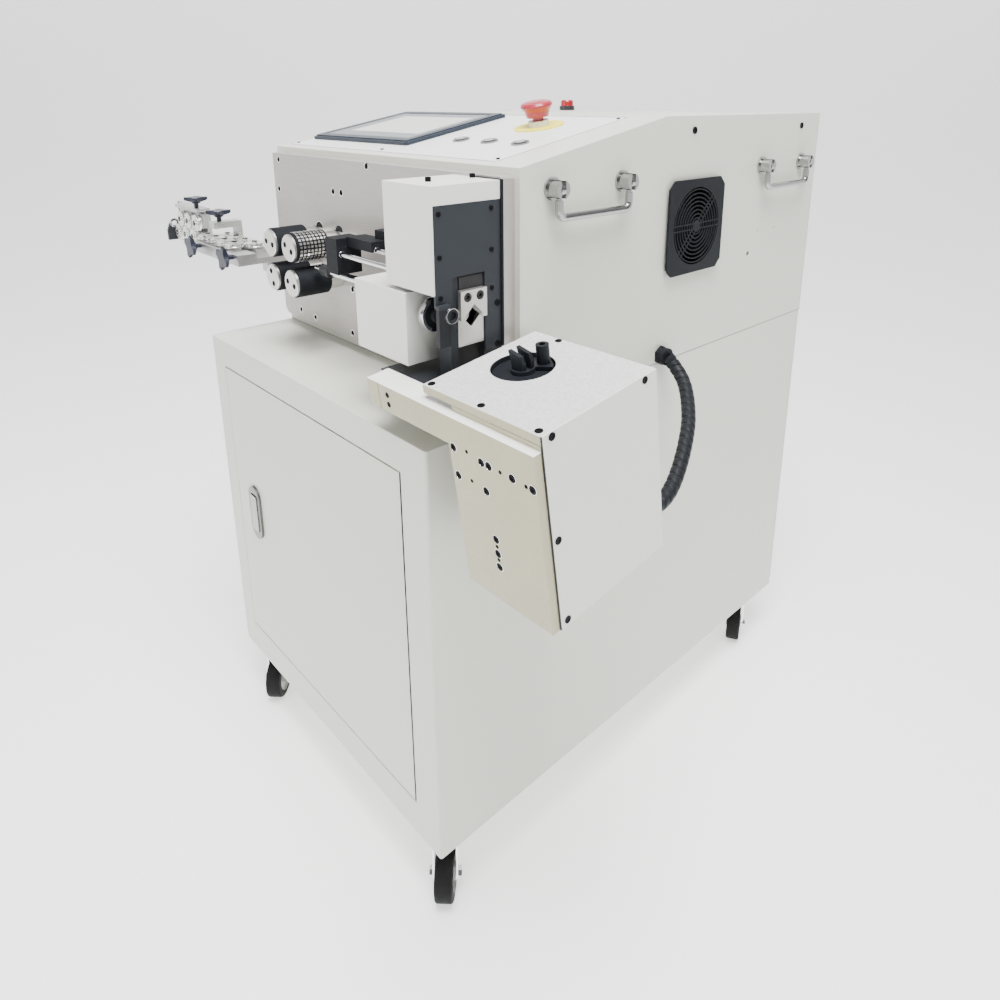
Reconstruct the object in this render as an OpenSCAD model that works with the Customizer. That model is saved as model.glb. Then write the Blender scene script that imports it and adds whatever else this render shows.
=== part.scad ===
// Wire cutting, stripping and bending machine on a castored cabinet.
// Machine frame: x = 0 is the right side face, y = 0 the cabinet front, z = 0 the floor.
// at_machine() then puts the middle of the whole footprint on the origin.

/* [Cabinet] */
// Width of the cabinet and of the housing on it
cab_w = 600; // [540:5:680]
// Depth of the cabinet
cab_d = 868; // [800:4:960]
// Height of the cabinet without its castors
cab_h = 599; // [540:1:680]
// Thickness of the sheet metal
sheet = 2; // [1.5:0.25:2.5]
// Radius of the cabinet's upright corners
corner_r = 4; // [2:1:8]
// Width of the front door
door_w = 499; // [440:1:510]
// Height of the front door
door_h = 495; // [430:1:510]
// Distance from the cabinet's right side to the front door
door_side = 55; // [45:1:60]
// Distance from the cabinet's underside to the front door
door_low = 57; // [40:1:60]
// Gap round each door
door_gap = 2.5; // [2:0.1:3.5]
// Depth of the folded edge of each door
door_fold = 18; // [14:1:24]
// Margin of sheet round the rear door
rear_margin = 14; // [14:1:24]
// Depth of the barrels on the rear hinges
barrel_d = 10; // [9:0.5:12]

/* [Door latch] */
// Length of the oval latch
latch_l = 96; // [80:2:110]
// Width of the oval latch
latch_w = 38; // [34:1:44]
// Height of the latch frame above the door
latch_proud = 4; // [3:0.5:6]

/* [Castors] */
// Height of a castor from the floor to the cabinet
castor_h = 105; // [100:1:125]
// Diameter of a castor wheel
wheel_d = 75; // [65:1:78]
// Width of a castor wheel
wheel_w = 26; // [22:1:32]
// Distance from the swivel axis to the wheel axis
castor_trail = 24; // [18:1:30]
// Distance from the cabinet's sides to a castor's swivel axis
castor_inset = 44; // [40:1:60]

/* [Housing] */
// Distance from the cabinet front to the housing front
house_set = 145; // [130:1:170]
// Height of the housing at its front
house_front_h = 303; // [300:1:330]
// Height of the housing at its roof
roof_h = 356; // [340:1:380]
// Distance from the cabinet front to the ridge
ridge_y = 420; // [400:1:470]

/* [Control panel] */
// Width of the screwed panel on the slope
panel_w = 522; // [500:1:530]
// Distance from the right side to the panel
panel_side = 60; // [30:1:64]
// Width of the touch screen unit
screen_w = 276; // [240:1:280]
// Depth of the touch screen unit along the slope
screen_h = 200; // [160:1:204]
// Diameter of a push button's ring
button_d = 25; // [22:0.5:28]
// Travel of a push button
button_travel = 2.5; // [1.5:0.1:3]
// Distance between neighbouring buttons
button_pitch = 61; // [40:1:66]
// Diameter of the emergency stop's cap
estop_d = 46; // [38:1:50]
// Travel of the emergency stop
estop_travel = 5; // [3:0.5:6]

/* [Handles] */
// Distance between the two feet of a handle
handle_cc = 130; // [110:1:150]
// Diameter of a handle's rod
handle_rod = 10; // [8:0.5:11]
// Drop from a handle's hinge to the middle of its bar
handle_drop = 34; // [30:1:46]
// Height of the handle hinges above the floor
handle_z = 980; // [960:1:985]

/* [Fan] */
// Side of the square fan guard
guard_s = 138; // [126:1:150]
// Side of the fan's square frame
fan_s = 120; // [110:1:122]
// Number of fan blades
fan_blades = 7; // [5:1:9]

/* [Front plate] */
// Thickness of the front plate
plate_t = 20; // [14:1:24]
// Width of the front plate
plate_w = 568; // [540:1:580]
// Height of the front plate
plate_h = 273; // [262:1:285]
// Distance from the right side to the front plate
plate_side = 9; // [6:1:12]
// Distance from the cabinet top to the front plate
plate_lift = 21; // [14:1:24]

/* [Wire line] */
// Distance from the cabinet front to the wire
wire_y = 78; // [76:0.5:80]
// Height of the wire above the floor
wire_z = 844; // [842:0.5:846]

/* [Feed rollers] */
// Diameter of a feed roller
roller_d = 44; // [40:1:46]
// Length of a roller's drum
roller_l = 52; // [44:1:56]
// Distance between the two rollers of a row
roller_pitch = 60; // [58:1:66]
// Gap between an upper roller and the lower one
roller_gap = 9; // [8.5:0.5:10]
// Distance from the right side to the middle of the rollers
roller_side = 417; // [405:1:425]
// Diameter of a roller's shaft
shaft_d = 20; // [16:1:22]
// Travel of the upper rollers up from the gap above
roller_open = 5; // [3:1:6]
// Travel of the upper rollers down onto the wire
roller_close = 8; // [6:1:8]

/* [Cutting head] */
// Width of the head's cover along the wire
head_w = 89; // [84:1:96]
// Height of the head's cover
head_h = 118; // [110:1:124]
// Height of the head's top above the wire
head_rise = 151; // [148:1:152]
// Depth of the head in front of the front plate
head_d = 101; // [98:1:104]
// Width of a blade
blade_w = 38; // [34:1:40]
// Thickness of a blade
blade_t = 5.8; // [4:0.2:6]
// Travel of each blade
blade_travel = 12; // [8:1:12.5]
// Width of the lower cover along the wire
low_w = 107; // [96:1:120]
// Height of the lower cover
low_h = 87; // [80:1:88]

/* [Wire guide] */
// Outer diameter of the guide tube
tube_d = 11; // [9:0.5:12]
// Bore of the guide tube
tube_bore = 7; // [5:0.5:7.5]
// Diameter of the two guide rods
rod_d = 8; // [6:0.5:9]

/* [Straightener] */
// Diameter of a straightening wheel
idler_d = 31; // [28:0.5:32]
// Thickness of a straightening wheel
idler_t = 8; // [6:0.5:9]
// Distance between neighbouring wheels of a row
idler_pitch = 38; // [36:0.5:40]
// Depth of a straightening wheel's groove
groove_deep = 1.5; // [1:0.25:1.5]
// Travel of each row's adjusting slide, to each side
adjust_travel = 3; // [1:0.5:3]

/* [Bending unit] */
// Width of the bending unit's top plate
bend_w = 178; // [172:1:190]
// Depth of the bending unit
bend_d = 170; // [160:1:185]
// Height of the bending unit
bend_h = 225; // [200:1:240]
// Forward tilt of the bending unit in degrees
bend_tilt = 8; // [6:0.5:10]
// Width of the box under the top plate
bend_box_w = 130; // [124:1:134]
// Thickness of the bracket plate
bracket_t = 10; // [8:0.5:12]
// Radius of the turning disc
disc_r = 35; // [30:0.5:36]
// Width of the slot between the two bending jaws
jaw_gap = 7.2; // [5.5:0.1:9]

/* [Hose] */
// Outer diameter of the spiral-wrapped hose
hose_d = 20; // [16:1:22]

/* [Hidden] */
$fn = 64;

// Overrun of a cutting tool past the face it cuts
cut = 1;
// Radial clearance of a turning or sliding fit
fit = 0.06;
// Gap between parts that move past each other
run_gap = 0.3;

cab_top = castor_h + cab_h;
house_front_z = cab_top + house_front_h;
roof_z = cab_top + roof_h;
slope = atan((roof_z - house_front_z) / (ridge_y - house_set));
slope_l = (ridge_y - house_set) / cos(slope);

door_x1 = -door_side;
door_x0 = door_x1 - door_w;
door_z0 = castor_h + door_low;
door_z1 = door_z0 + door_h;
door_pin_r = 2.5;
door_pin_in = 5;
door_pin_l = 12;
door_block = 10;
rear_z0 = castor_h + 45;
rear_h = 510;
rear_fold_y = cab_d - door_fold;
hinge_x = -rear_margin + door_gap / 2;
hinge_l = 42;
hinge_zs = [rear_z0 + 214, rear_z0 + rear_h - 60, rear_z0 + 30];

latch_x = door_x0 + 66;
latch_z = (door_z0 + door_z1) / 2 + 8;
lever_w = latch_w - 16;
lever_l = latch_l - 30;
lever_pin_r = 1;
lever_pin_y = -latch_proud + 0.6;
lever_proud = 1.6;
latch_cup_w = lever_w + 4;
latch_cup_l = lever_l + 4;
latch_cup_d = 12;
latch_gap = 0.9;

wheel_r = wheel_d / 2;
castor_plate_t = 3;
king_r = 7;
crown_t = 9.5;
crown_z = castor_h - castor_plate_t - run_gap - crown_t;
axle_r = 4;
leg_gap = 2;
leg_t = 3;
// Corner of each castor as [x, y, steering angle]
castor_spots = [
    [-cab_w + castor_inset, castor_inset, -45],
    [-castor_inset, castor_inset, -45],
    [-cab_w + castor_inset, cab_d - castor_inset - 14, -62],
    [-castor_inset, cab_d - castor_inset - 14, -62],
];

plate_x1 = -plate_side;
plate_x0 = plate_x1 - plate_w;
plate_z0 = cab_top + plate_lift;
plate_z1 = plate_z0 + plate_h;
plate_y = house_set - plate_t;

roller_r = roller_d / 2;
shaft_r = shaft_d / 2;
roller_xs = [-roller_side - roller_pitch / 2, -roller_side + roller_pitch / 2];
roller_low_z = wire_z - roller_r - 1;
roller_top_z = roller_low_z + roller_d + roller_gap;
drum_y1 = wire_y + roller_l / 2 - 2;
drum_y0 = drum_y1 - roller_l;
cap_t = 4;
shaft_end = house_set + 60;
slot_r = shaft_r + 3;

head_x1 = -plate_side + 1;
head_x0 = head_x1 - head_w;
head_top = wire_z + head_rise;
head_low = head_top - head_h;
head_y0 = plate_y - head_d;
cover_t = 3;
blade_x = head_x1 + 4;
blade_gap = 0.2;
blade_tip = 1;
blade_top = 33;
blade_land = 0.8;
blade_bevel = 40;
v_half = blade_travel - 0.2;
low_blade_x = blade_x - 2 * blade_t - blade_gap;
holder_w = blade_w - 4;
channel_y0 = wire_y - holder_w / 2 - run_gap;
channel_y1 = wire_y + holder_w / 2 + run_gap;
block_x0 = head_x1 - 26;
channel_x0 = block_x0 + 4;
base_t = 10;
base_z1 = wire_z - 72;
low_x1 = head_x0 + 39;
low_x0 = low_x1 - low_w;
low_z1 = head_low - 5;

tube_x0 = -322;
tube_x1 = low_x1 - 6;
block_x = -275;
rod_zs = [34, 46];
rod_mid = 40;

idler_r = idler_d / 2;
row_off = idler_r - groove_deep;
flat_x = plate_x0 - 27;
tall_x = flat_x - 235;
flat_far_xs = [for (i = [0:3]) flat_x - i * idler_pitch];
flat_near_xs = [for (i = [0:3]) flat_x - (i + 0.5) * idler_pitch];
tall_low_xs = [for (i = [0:2]) tall_x - i * idler_pitch];
tall_top_xs = [for (i = [0:2]) tall_x - (i - 0.5) * idler_pitch];
rail_t = 10;
slide_t = 8;
stud_foot = 1;
rail_z = wire_z - idler_t / 2 - stud_foot - slide_t - rail_t;
slide_z = rail_z + rail_t;
back_t = 8;
back_y = wire_y + idler_t / 2 + stud_foot;
lip_t = 6;
end_t = 6;
wire_eye_r = 9;
stud_r = 4;
tall_x0 = tall_low_xs[2] - idler_r - 20;
tall_x1 = tall_low_xs[0] + 33;
tall_lip_z = wire_z + row_off + idler_r + lip_t;

bend_x = 10;
bend_y = -8;
bend_z = 790;
top_t = 10;
disc_x = 58;
disc_y = 94;
disc_gap = 1;
disc_floor = -top_t - 30;
core_r = 14;
bracket_top = -16;
arm_h = 34;
arm_l = 98;
arm_deep = 20;
box_x0 = bend_w - bend_box_w;

side_screw_h = 0.8;
// Route of the hose, from the housing's side to the back of the bending unit
hose_route = [
    [14, 432, 716], [25, 435, 704], [45, 428, 690], [64, 412, 677], [82, 391, 664],
    [95, 373, 654], [107, 352, 644], [118, 330, 633], [128, 306, 620], [136, 282, 609],
    [141, 258, 602], [143, 234, 602], [143, 212, 608],
];

// Middle of the footprint, from the straightener's end plate to the bending unit's side
foot_x = (tall_x0 + bend_x + bend_w + sheet + side_screw_h) / 2;
foot_y0 = bend_y - bracket_t * cos(bend_tilt) - bracket_top * sin(bend_tilt);
foot_y = (foot_y0 + cab_d + barrel_d) / 2;

module at_machine() {
    translate([-foot_x, -foot_y, 0]) children();
}

module on_slope() {
    translate([0, house_set, house_front_z]) rotate([slope, 0, 0]) children();
}

module on_bend() {
    translate([bend_x, bend_y, bend_z]) rotate([bend_tilt, 0, 0]) children();
}

// Box given by its lowest and highest corners
module block(lo, hi) {
    translate(lo) cube(hi - lo);
}

// Cylinder from point p along one of the axes
module rod_x(p, r, l) {
    translate(p) rotate([0, 90, 0]) cylinder(r = r, h = l);
}

module rod_y(p, r, l) {
    translate(p) rotate([-90, 0, 0]) cylinder(r = r, h = l);
}

module rod_z(p, r, l) {
    translate(p) cylinder(r = r, h = l);
}

module rounded_rect(w, d, r) {
    union() {
        translate([r, 0]) square([w - 2 * r, d]);
        translate([0, r]) square([w, d - 2 * r]);
        for (x = [r, w - r], y = [r, d - r]) translate([x, y]) circle(r);
    }
}

// Stadium outline of length l along y, centred on the origin
module stadium(w, l) {
    union() {
        square([w, l - w], center = true);
        for (s = [-1, 1]) translate([0, s * (l - w) / 2]) circle(w / 2);
    }
}

// Upright outline in x and z, pushed back along +y from plane y
module facing_front(y, t) {
    translate([0, y + t, 0]) rotate([90, 0, 0]) linear_extrude(t) children();
}

// Outline in y and z, pushed along +x from plane x
module facing_right(x, t) {
    translate([x, 0, 0]) rotate([90, 0, 90]) linear_extrude(t) children();
}

// Socket-head screw on the xy plane with its head upwards
module screw(r = 3, h = 2) {
    difference() {
        cylinder(r = r, h = h);
        translate([0, 0, h * 0.4]) cylinder(r = r * 0.5, h = h, $fn = 6);
    }
}

module door_opening(x0, x1, z0, z1, y) {
    block([x0 - door_gap, y - cut, z0 - door_gap], [x1 + door_gap, y + sheet + cut, z1 + door_gap]);
}

// Folded edge round a door opening, behind the sheet
module opening_fold(x0, x1, z0, z1, y0, y1) {
    g = door_gap;
    difference() {
        block([x0 - g - sheet, y0, z0 - g - sheet], [x1 + g + sheet, y1, z1 + g + sheet]);
        block([x0 - g, y0 - cut, z0 - g], [x1 + g, y1 + cut, z1 + g]);
    }
}

rear_x0 = -cab_w + rear_margin;
rear_x1 = -rear_margin;
cable_way = [220, 300];

module cabinet_shell() {
    color("gainsboro") at_machine() union() {
        difference() {
            translate([-cab_w, 0, castor_h]) linear_extrude(cab_h)
                rounded_rect(cab_w, cab_d, corner_r);
            block([-cab_w + sheet, sheet, castor_h + sheet],
                  [-sheet, cab_d - sheet, cab_top - sheet]);
            door_opening(door_x0, door_x1, door_z0, door_z1, 0);
            door_opening(rear_x0, rear_x1, rear_z0, rear_z0 + rear_h, cab_d - sheet);
            translate([-cab_w / 2 - cable_way[0] / 2, house_set + 200, cab_top - sheet - cut])
                cube([cable_way[0], cable_way[1], sheet + 2 * cut]);
        }
        opening_fold(door_x0, door_x1, door_z0, door_z1, sheet, door_fold);
        opening_fold(rear_x0, rear_x1, rear_z0, rear_z0 + rear_h, rear_fold_y, cab_d - sheet);
    }
}

// Folded sheet door, with its outer face on plane y_out and its fold towards y_in
module door_pan(x0, x1, z0, z1, y_lo, y_hi, skin_lo) {
    difference() {
        block([x0, y_lo, z0], [x1, y_hi, z1]);
        block([x0 + sheet, skin_lo ? y_lo + sheet : y_lo - cut, z0 + sheet],
              [x1 - sheet, skin_lo ? y_hi + cut : y_hi - sheet, z1 - sheet]);
    }
}

module cabinet_door() {
    color("gainsboro") at_machine() difference() {
        union() {
            door_pan(door_x0, door_x1, door_z0, door_z1, 0, door_fold, true);
            for (z = [door_z0, door_z1 - door_pin_l - 4])
                block([door_x1 - door_block, 0, z], [door_x1, door_block, z + door_pin_l + 4]);
        }
        for (z = [door_z0 - cut, door_z1 - door_pin_l])
            rod_z([door_x1 - door_pin_in, door_pin_in, z], door_pin_r + fit, door_pin_l + cut);
        block([latch_x - latch_cup_w / 2 - run_gap, -cut, latch_z - latch_cup_l / 2 - run_gap],
              [latch_x + latch_cup_w / 2 + run_gap, sheet + cut,
               latch_z + latch_cup_l / 2 + run_gap]);
    }
}

knuckle = hinge_l / 3;

module rear_door() {
    color("gainsboro") at_machine() difference() {
        union() {
            door_pan(rear_x0, rear_x1, rear_z0, rear_z0 + rear_h, rear_fold_y, cab_d, false);
            for (z = hinge_zs) {
                rod_z([hinge_x, cab_d + barrel_d / 2, z + knuckle + run_gap], barrel_d / 2,
                      knuckle - 2 * run_gap);
                block([rear_x1 - 24, cab_d, z], [rear_x1, cab_d + sheet, z + hinge_l]);
                block([rear_x1 - 4, cab_d, z + knuckle + run_gap],
                      [hinge_x, cab_d + barrel_d / 2, z + 2 * knuckle - run_gap]);
            }
        }
        for (z = hinge_zs) {
            rod_z([hinge_x, cab_d + barrel_d / 2, z - cut], door_pin_r + fit, hinge_l + 2 * cut);
            for (s = [0, 1]) translate([0, 0, s * 2 * knuckle])
                rod_z([hinge_x, cab_d + barrel_d / 2, z - run_gap], barrel_d / 2 + run_gap,
                      knuckle + 2 * run_gap);
        }
    }
}

module door_hinges() {
    color("silver") at_machine() {
        for (z = [door_z0 - door_gap, door_z1 + door_gap - door_pin_l])
            rod_z([door_x1 - door_pin_in, door_pin_in, z], door_pin_r, door_pin_l);
        for (z = hinge_zs) union() {
            rod_z([hinge_x, cab_d + barrel_d / 2, z], door_pin_r, hinge_l);
            for (s = [0, 1]) translate([0, 0, z + s * 2 * knuckle]) {
                rod_z([hinge_x, cab_d + barrel_d / 2, 0], barrel_d / 2, knuckle);
                block([hinge_x, cab_d, 0], [-2, cab_d + sheet, knuckle]);
            }
        }
    }
}

module latch_body() {
    pocket_w = lever_w + 2 * run_gap;
    pocket_l = lever_l + 2 * latch_gap;
    color("dimgray") at_machine() translate([latch_x, 0, latch_z]) difference() {
        union() {
            facing_front(-latch_proud, latch_proud) stadium(latch_w, latch_l);
            block([-latch_cup_w / 2, 0, -latch_cup_l / 2],
                  [latch_cup_w / 2, latch_cup_d, latch_cup_l / 2]);
        }
        facing_front(-latch_proud - cut, latch_proud + latch_cup_d)
            translate([-pocket_w / 2, -pocket_l / 2]) rounded_rect(pocket_w, pocket_l, 4);
        rod_x([-pocket_w / 2 - 3, lever_pin_y, lever_l / 2 - 4], lever_pin_r + fit, pocket_w + 6);
    }
}

module latch_lever() {
    lever_y = -latch_proud - lever_proud;
    color("silver") at_machine() translate([latch_x, 0, latch_z]) union() {
        facing_front(lever_y, latch_proud + lever_proud - 1)
            translate([-lever_w / 2, -lever_l / 2]) rounded_rect(lever_w, lever_l, 4);
        rod_x([-lever_w / 2 - 2.6, lever_pin_y, lever_l / 2 - 4], lever_pin_r, lever_w + 5.2);
    }
}

module at_castor(i) {
    at_machine() translate([castor_spots[i][0], castor_spots[i][1], 0])
        rotate([0, 0, castor_spots[i][2]]) children();
}

module castor_plates() {
    plate_s = 64;
    color("silver") for (i = [0:3]) at_castor(i) union() {
        rotate([0, 0, -castor_spots[i][2]])
            translate([-plate_s / 2, -plate_s / 2, castor_h - castor_plate_t])
            linear_extrude(castor_plate_t) rounded_rect(plate_s, plate_s, 6);
        rod_z([0, 0, crown_z - 4], king_r, castor_h - crown_z + 4);
        rod_z([0, 0, crown_z - 4 - run_gap], king_r + 4, 4);
    }
}

// One cheek of the fork, drawn in x and z
module cheek_outline() {
    union() {
        polygon([[-20, crown_z + crown_t], [20, crown_z + crown_t], [24, crown_z],
                 [castor_trail + 10, wheel_r + 5], [castor_trail - 9, wheel_r - 6],
                 [-20, crown_z - 2]]);
        translate([castor_trail, wheel_r]) circle(11);
    }
}

module castor_fork(i) {
    cheek_y = wheel_w / 2 + leg_gap;
    color("whitesmoke") at_castor(i) difference() {
        union() {
            rod_z([0, 0, crown_z], 26, crown_t);
            for (s = [-1, 1])
                facing_front(s > 0 ? cheek_y : -cheek_y - leg_t, leg_t) cheek_outline();
            block([-20, -cheek_y - leg_t, crown_z], [20, cheek_y + leg_t, crown_z + crown_t]);
            rod_y([castor_trail, -cheek_y - leg_t - 5, wheel_r], axle_r, 2 * (cheek_y + leg_t + 5));
            for (y = [-cheek_y - leg_t - 5, cheek_y + leg_t])
                translate([castor_trail, y, wheel_r]) rotate([-90, 0, 0])
                    cylinder(r = 7, h = 5, $fn = 6);
        }
        rod_z([0, 0, crown_z - cut], king_r + fit, crown_t + 2 * cut);
    }
}

module castor_wheel(i) {
    w = wheel_w / 2;
    hub = 12;
    color([0.13, 0.13, 0.14]) at_castor(i) translate([castor_trail, 0, wheel_r])
        rotate([90, 0, 0]) rotate_extrude() difference() {
            union() {
                translate([0, -w - leg_gap + run_gap]) square([hub, 2 * (w + leg_gap - run_gap)]);
                translate([0, -w + 4]) square([wheel_r - 8, 2 * w - 8]);
                translate([wheel_r - 12, -w]) square([8, 2 * w]);
                translate([wheel_r - 8, -w + 4]) square([8, 2 * w - 8]);
                for (s = [-1, 1]) translate([wheel_r - 4, s * (w - 4)]) circle(4);
            }
            translate([-1, -w - leg_gap - cut]) square([axle_r + fit + 1, 2 * (w + leg_gap + cut)]);
            translate([-2 * wheel_r, -2 * w]) square([2 * wheel_r, 4 * w]);
        }
}

vent_w = 96;
vent_h = 88;
vent_x0 = -8 - vent_w;
vent_z0 = cab_top + 85;
fan_y = 496;
fan_z = cab_top + 199;
fan_r = fan_s / 2 - 2;
hose_y = hose_route[0][1];
hose_z = hose_route[0][2];
gland_r = hose_d / 2 + 3;
inlet_x = -cab_w + 70;
inlet_z = cab_top + 60;
inlet_size = [28, 20];

// Side outline of the housing, drawn in y and z and moved inwards by t
module side_outline(t) {
    drop = t * tan(slope / 2);
    polygon([[house_set + t, cab_top - (t > 0 ? cut : 0)], [cab_d - t, cab_top - (t > 0 ? cut : 0)],
             [cab_d - t, roof_z - t], [ridge_y + drop, roof_z - t],
             [house_set + t, house_front_z - t / cos(slope) + t * tan(slope)]]);
}

panel_x1 = -panel_side;
panel_x0 = panel_x1 - panel_w;
panel_s0 = 18;
panel_s1 = slope_l - 12;
screen_x = panel_x0 + 10 + screen_w / 2;
screen_s = (panel_s0 + panel_s1) / 2 + 12;
button_s = panel_s0 + 84;
button_xs = [for (i = [0:2]) -106 - i * button_pitch];
button_r = button_d / 2;
cap_r = button_r - 4;
barrel_r = button_r - 2.5;
estop_x = -166;
estop_s = panel_s0 + 180;
estop_r = estop_d / 2;
estop_stem = 8;

module upper_housing() {
    window_z0 = plate_z0 + 10;
    color("gainsboro") at_machine() difference() {
        facing_right(-cab_w, cab_w) side_outline(0);
        facing_right(-cab_w + sheet, cab_w - 2 * sheet) side_outline(sheet);
        on_slope() block([panel_x0, panel_s0, -2 * sheet], [panel_x1, panel_s1, cut]);
        block([plate_x0 + 12, house_set - cut, window_z0],
              [plate_x1 - 12, house_set + sheet + cut, plate_z1 - 12]);
        rod_x([-sheet - cut, fan_y, fan_z], fan_r, sheet + 2 * cut);
        rod_x([-sheet - cut, hose_y, hose_z], hose_d / 2 - 2, sheet + 2 * cut);
        for (y = [686, 739]) rod_x([-sheet - cut, y, cab_top + 169], 1.6, sheet + 2 * cut);
        rod_x([-sheet - cut, 661, cab_top + 134], 4, sheet + 2 * cut);
        for (i = [0:6])
            block([vent_x0 + 12, cab_d - sheet - cut, vent_z0 + 12 + i * 10],
                  [vent_x0 + vent_w - 12, cab_d + cut, vent_z0 + 17 + i * 10]);
        block([inlet_x - inlet_size[0] / 2, cab_d - sheet - cut, inlet_z - inlet_size[1] / 2],
              [inlet_x + inlet_size[0] / 2, cab_d + cut, inlet_z + inlet_size[1] / 2]);
    }
}

module control_panel() {
    color("whitesmoke") at_machine() on_slope() difference() {
        block([panel_x0, panel_s0, -sheet], [panel_x1, panel_s1, 0]);
        block([screen_x - screen_w / 2 + 12, screen_s - screen_h / 2 + 12, -sheet - cut],
              [screen_x + screen_w / 2 - 12, screen_s + screen_h / 2 - 12, cut]);
        for (x = button_xs) rod_z([x, button_s, -sheet - cut], barrel_r, sheet + 2 * cut);
        rod_z([estop_x, estop_s, -sheet - cut], estop_stem + 4, sheet + 2 * cut);
    }
}

module touch_screen() {
    edge = 18;
    color([0.15, 0.17, 0.2]) at_machine() on_slope() translate([screen_x, screen_s, 0]) union() {
        difference() {
            union() {
                translate([-screen_w / 2, -screen_h / 2, 0]) linear_extrude(5)
                    rounded_rect(screen_w, screen_h, 6);
                translate([-screen_w / 2 + 4, -screen_h / 2 + 4, 5]) linear_extrude(2)
                    rounded_rect(screen_w - 8, screen_h - 8, 4);
            }
            block([-screen_w / 2 + edge, -screen_h / 2 + edge, 6],
                  [screen_w / 2 - edge, screen_h / 2 - edge, 8]);
        }
        block([-screen_w / 2 + 14, -screen_h / 2 + 14, -34], [screen_w / 2 - 14, screen_h / 2 - 14, 0]);
    }
}

module button(i) {
    color("silver") at_machine() on_slope() translate([button_xs[i], button_s, 0]) union() {
        rod_z([0, 0, -6], cap_r - run_gap, 8.5);
        rod_z([0, 0, 2.5], cap_r - 1.5, 0.7);
    }
}

module button_ring() {
    pocket = 6 + button_travel + run_gap;
    difference() {
        union() {
            cylinder(r = button_r, h = 2);
            translate([0, 0, 2]) cylinder(r1 = button_r, r2 = cap_r + 1, h = 1.2);
            translate([0, 0, -24]) cylinder(r = barrel_r, h = 24);
        }
        translate([0, 0, -pocket]) cylinder(r = cap_r, h = pocket + 4);
    }
}

module panel_collars() {
    color("silver") at_machine() on_slope() {
        for (x = button_xs) translate([x, button_s, 0]) button_ring();
        translate([estop_x, estop_s, 0]) difference() {
            union() {
                cylinder(r = estop_r + 14, h = 1.5);
                cylinder(r = estop_r - 8, h = 9);
                translate([0, 0, -26]) cylinder(r = estop_stem + 4, h = 26);
            }
            translate([0, 0, -20]) cylinder(r = estop_stem + fit, h = 40);
        }
    }
}

module estop_head() {
    lift = 9 + estop_travel + run_gap;
    color("crimson") at_machine() on_slope() translate([estop_x, estop_s, 0]) rotate_extrude()
        polygon([[0, -12], [estop_stem, -12], [estop_stem, lift], [estop_r - 7, lift],
                 [estop_r - 5, lift + 8], [estop_r - 2, lift + 12], [estop_r, lift + 15],
                 [estop_r, lift + 17], [estop_r - 2, lift + 20], [estop_r - 10, lift + 22],
                 [0, lift + 22.5]]);
}

module signal_lamp() {
    color("red") at_machine() translate([-cab_w + 24, cab_d - 34, roof_z]) rotate_extrude()
        polygon([[0, 0], [17, 0], [17, 9], [15, 10], [14, 10], [14, 19], [12, 22], [0, 23]]);
}

boss_r = 11;
boss_l = 20;
hinge_out = 13;
eye_r = 8;
eye_w = 7;
rod_r = handle_rod / 2;
bend_r = rod_r + 4;
handle_ys = [262, 746];

// Foot of a handle at the origin, standing out along +x
module handle_foot() {
    union() {
        difference() {
            union() {
                rod_x([0, 0, 0], boss_r + 3, 3);
                rod_x([0, 0, 0], boss_r, boss_l);
            }
            block([4, -eye_w / 2 - run_gap, -20], [boss_l + cut, eye_w / 2 + run_gap, 20]);
        }
        rod_y([hinge_out, -boss_r + 2, 0], 3, 2 * boss_r - 4);
    }
}

// Folding bail that hangs from its hinge line at the origin
module bail() {
    half = handle_cc / 2;
    bar_z = -handle_drop;
    difference() {
        union() {
            for (s = [-1, 1]) {
                rod_y([0, s * half - eye_w / 2, 0], eye_r, eye_w);
                rod_z([0, s * half, bar_z + bend_r], eye_w / 2, handle_drop - bend_r);
                rod_z([0, s * half, bar_z + bend_r], rod_r, handle_drop - bend_r - boss_r - 2);
            }
            translate([0, half - bend_r, bar_z + bend_r]) rotate([0, 90, 0])
                rotate_extrude(angle = 90) translate([bend_r, 0]) circle(rod_r);
            translate([0, -half + bend_r, bar_z + bend_r]) mirror([0, 1, 0]) rotate([0, 90, 0])
                rotate_extrude(angle = 90) translate([bend_r, 0]) circle(rod_r);
            rod_y([0, -half + bend_r, bar_z], rod_r, handle_cc - 2 * bend_r);
        }
        for (s = [-1, 1]) rod_y([0, s * half - eye_w, 0], 3 + fit, 2 * eye_w);
    }
}

module handle_bosses() {
    color("silver") at_machine() {
        for (y = handle_ys, s = [-1, 1])
            translate([0, y + s * handle_cc / 2, handle_z]) handle_foot();
        for (y = handle_ys, s = [-1, 1])
            translate([-cab_w, y + s * handle_cc / 2, handle_z]) mirror([1, 0, 0]) handle_foot();
    }
}

module handle(x, i) {
    color("silver") at_machine() translate([x, handle_ys[i], handle_z]) bail();
}

guard_t = 7;
ring_w = 1.8;
fan_ring_n = 8;

// Face of the guard as a flat outline: rings, spokes and a chamfered frame
module guard_outline() {
    half = guard_s / 2;
    chop = 12;
    reach = fan_r - 1;
    step = (reach - 9) / fan_ring_n;
    union() {
        difference() {
            polygon([[-half + chop, -half], [half - chop, -half], [half, -half + chop],
                     [half, half - chop], [half - chop, half], [-half + chop, half],
                     [-half, half - chop], [-half, -half + chop]]);
            circle(reach);
        }
        circle(9);
        for (i = [1:fan_ring_n]) difference() {
            circle(9 + i * step - step / 2 + ring_w / 2);
            circle(9 + i * step - step / 2 - ring_w / 2);
        }
        for (a = [0, 45], s = [-1, 1]) rotate(a) translate([-reach - 1, s * 4 - ring_w / 2])
            square([2 * reach + 2, ring_w]);
    }
}

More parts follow.
